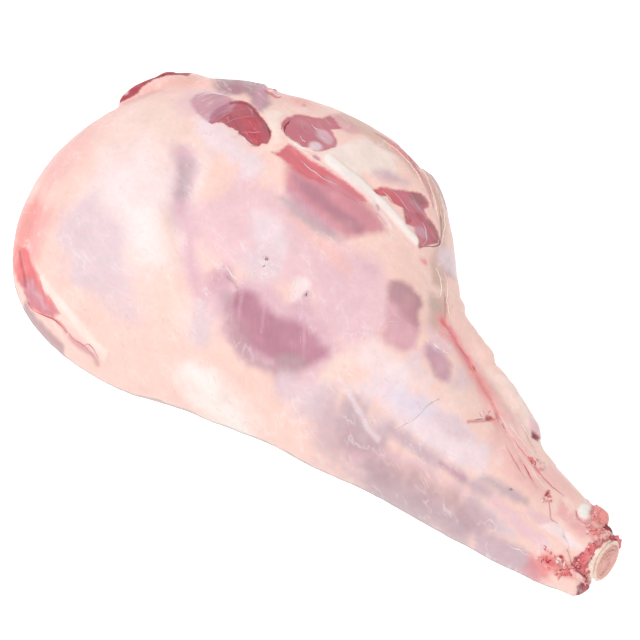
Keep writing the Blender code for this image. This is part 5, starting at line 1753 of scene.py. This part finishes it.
@dataclass
class Studio:
    """A pale floor that glows softly, white all round, one softbox, and the camera.

    Attributes:
        azimuth, elevation: where the camera looks from, degrees.
        distance: from the camera to what it looks at, m.
        lens: its focal length, mm.
        target: what it looks at, m.
    """

    azimuth: float = 37.7
    elevation: float = 70.0
    distance: float = 0.98
    lens: float = 100.0
    target: tuple[float, float, float] = (-0.0116, -0.0060, 0.045)

    def build(self) -> None:
        """Makes the floor, the light and the camera."""
        self.floor()
        self.light()
        self.camera()

    def floor(self) -> None:
        """A large pale floor under the leg."""
        for other in bpy.context.view_layer.objects:
            other.select_set(False)
        bpy.ops.mesh.primitive_plane_add(size=8, location=(0, 0, CAD_BOX[0].z - 0.0002))
        floor = bpy.context.active_object
        floor.name = "floor"
        bpy.ops.object.transform_apply(location=True)
        material, tree = empty_material("white_acrylic_table")
        shader = node(tree, "ShaderNodeBsdfPrincipled", {
            "Base Color": (*linear("#dcdcdc"), 1), "Roughness": 0.9, "Specular IOR Level": 0.0,
            "Emission Color": (1, 1, 1, 1), "Emission Strength": 0.55})
        tree.links.new(shader.outputs[0], tree.nodes["Material Output"].inputs["Surface"])
        floor.data.materials.append(material)

    def light(self) -> None:
        """White surroundings and a large softbox above."""
        world = bpy.data.worlds.new("studio")
        bpy.context.scene.world = world
        world.use_nodes = True
        world.node_tree.nodes["Background"].inputs["Color"].default_value = (1, 1, 1, 1)
        world.node_tree.nodes["Background"].inputs["Strength"].default_value = 0.75
        bpy.ops.object.light_add(type="AREA", location=(-0.25, -0.45, 1.5))
        box = bpy.context.active_object
        box.name = "softbox"
        box.data.shape, box.data.size, box.data.size_y = "RECTANGLE", 1.3, 1.0
        box.data.energy = 16
        box.rotation_mode = "QUATERNION"
        box.rotation_quaternion = (-Vector(box.location)).to_track_quat("-Z", "Y")
        view = bpy.context.scene.view_settings
        view.view_transform, view.look, view.exposure, view.gamma = "Standard", "None", 0.0, 1.0

    def camera(self) -> None:
        """A long lens that looks steeply down on the leg."""
        a, e = math.radians(self.azimuth), math.radians(self.elevation)
        back = Vector((math.sin(a) * math.cos(e), -math.cos(a) * math.cos(e), math.sin(e)))
        bpy.ops.object.camera_add(location=Vector(self.target) + back * self.distance)
        camera = bpy.context.active_object
        camera.name = "camera"
        camera.data.lens, camera.data.sensor_width = self.lens, 36
        camera.rotation_mode = "QUATERNION"
        camera.rotation_quaternion = (-back).to_track_quat("-Z", "Y")
        bpy.context.scene.camera = camera


@dataclass
class SawnFace:
    """The sawn end of the shin bone: a pale hard rim round spongy pink bone and marrow.

    Attributes:
        normal: which way the cut faces.
        rim: width of the hard bone at the edge, as a share of the radius.
        thick: thickness of the disc that carries the detail, mm.
        grooves: radius share, start and end degrees, depth in mm of each curved mark.
    """

    normal: tuple[float, float, float] = (0.92, 0.03, 0.38)
    rim: float = 0.1
    thick: float = 0.8
    grooves: tuple[tuple[float, float, float, float], ...] = (
        (0.80, -60, 128, 0.35), (0.60, -40, 105, 0.35), (0.56, 190, 250, 0.2), (0.38, -25, 70, 0.3), (0.34, 150, 200, 0.2),
        (0.72, 205, 262, 0.25), (0.14, 0, 120, 0.3))

    def build(self) -> bpy.types.Object:
        """Makes the disc, marks it, and sets it on the bone's end."""
        unit, out = plan_unit(), Vector(self.normal).normalized()
        up = (Vector((0, 0, 1)) - out * out.z).normalized()
        side = up.cross(out)
        ends = np.array([v.co for v in frame["nodes"]["shank_bone"].data.vertices]) / unit
        far = ends @ np.array(out)
        rim = ends[far > far.max() - 0.5]
        middle = rim.mean(0)
        tall, wide = (np.abs((rim - middle) @ np.array(axis)).max() for axis in (up, side))
        for other in bpy.context.view_layer.objects:
            other.select_set(False)
        bpy.ops.mesh.primitive_grid_add(x_subdivisions=72, y_subdivisions=72, size=2)
        face = bpy.context.active_object
        face.name = face.data.name = "sawn_face"
        flat = read_points(face) * unit
        x, y = flat[:, 0] * np.sqrt(1 - flat[:, 1] ** 2 / 2), flat[:, 1] * np.sqrt(1 - flat[:, 0] ** 2 / 2)
        radius, turn = np.hypot(x, y), np.degrees(np.arctan2(y, x))
        flat_mm = np.stack([x * tall, y * wide, np.zeros(len(x))], axis=1)
        pore, waver = lattice_noise(flat_mm, 0.9, 101), lattice_noise(flat_mm, 3.5, 102)
        hard = ease((radius - (1 - self.rim)) / 0.06 + 0.5 + 0.6 * waver)
        mark = np.zeros(len(x))
        for share, start, end, depth in self.grooves:
            along = (turn - start) % 360 / (end - start)
            on = ease(np.minimum(along, 1 - along) * 6) * (along < 1)
            gap = np.abs(radius - share * (1 + 0.05 * waver) + 0.05 * np.sin(np.radians(turn * 2)))
            mark = np.maximum(mark, on * ease(1.25 - gap / 0.045) * depth / 0.35)
        rise = 0.3 + 0.22 * hard - 0.4 * mark + 0.13 * pore * (1 - hard) - 0.6 * ease((radius - 0.93) / 0.07)
        spread = 0.99 + 0.015 * waver
        points = (middle + np.outer(x * tall * spread, up) + np.outer(y * wide * spread, side) + np.outer(rise, out))
        write_points(face, points)
        tones = [np.array(linear(c)) for c in ("#f2aa98", "#f8dccb", "#b0665c", "#e0988c")]
        tone = tones[0] + (tones[3] - tones[0]) * (ease(0.5 + 0.9 * waver + 0.3 * pore) * (radius < 0.7))[:, None]
        tone = tone + (tones[1] - tone) * (hard * 0.9)[:, None]
        tone = tone + (tones[2] - tone) * (mark * 0.8)[:, None]
        write_attribute(face, "tone", tone)
        apply_modifier(face, "SOLIDIFY", thickness=self.thick * unit, offset=-1.0)
        select_only(face)
        bpy.ops.object.mode_set(mode="EDIT")
        bpy.ops.mesh.select_all(action="SELECT")
        bpy.ops.mesh.normals_make_consistent(inside=False)
        bpy.ops.object.mode_set(mode="OBJECT")
        face.data.materials.append(BoneFinish().build())
        select_only(face)
        bpy.ops.object.shade_smooth()
        return face


@dataclass
class ShankBone:
    """The shin bone itself, bare only for its last few millimetres."""

    def build(self) -> bpy.types.Object:
        """Makes the bone piece, pale on its hard outside."""
        bone = copy_of_node("shank_bone", "shin_bone")
        apply_modifier(bone, "REMESH", mode="VOXEL", voxel_size=1.0 * plan_unit())
        apply_modifier(bone, "SMOOTH", factor=0.5, iterations=2)
        points = read_points(bone)
        low, high = np.array(linear("#e9a396")), np.array(linear("#fae3d4"))
        share = ease(0.55 + 0.5 * lattice_noise(points, 3.0, 111) + 0.3 * lattice_noise(points, 1.5, 112)
                     + (points[:, 0] - 181) * 0.08)
        write_attribute(bone, "tone", low + (high - low) * share[:, None])
        bone.data.materials.append(BoneFinish().build())
        select_only(bone)
        bpy.ops.object.shade_smooth()
        return bone


def main() -> None:
    """Builds the pieces in order, ties each to the frame and reports it."""
    logging.basicConfig(level=logging.INFO, format="%(name)s: %(message)s")
    Studio().build()
    skin, bone, cuff = LegSkin().build(), ShankBone().build(), BoneCuff().build()
    surface = Surface([skin, bone, cuff])
    made = (
        (skin, "leg_meat", "raw_lamb"),
        (bone, "shank_bone", "cut_bone"),
        (SawnFace().build(), "", "cut_bone"),
        (cuff, "", "raw_lamb"),
        (BoneCuff().collar(), "", "raw_lamb"),
        (SkinStrands(STRANDS, "skin_strands").build(surface), "", "raw_lamb"),
        (SkinStrands(torn_ends(), "torn_ends", step=0.6, rough=0.6, wet=0.6).build(surface), "", "raw_lamb"),
        (TornRags(RAGS, "torn_rags").build(surface), "", "raw_lamb"),
    )
    for piece, stands_for, finish in made:
        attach(piece, "root")
        if stands_for:
            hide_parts(stands_for)
        piece.data.calc_loop_triangles()
        LOG.info("%s: %d triangles", piece.name, len(piece.data.loop_triangles))


if __name__ == "__main__":
    main()
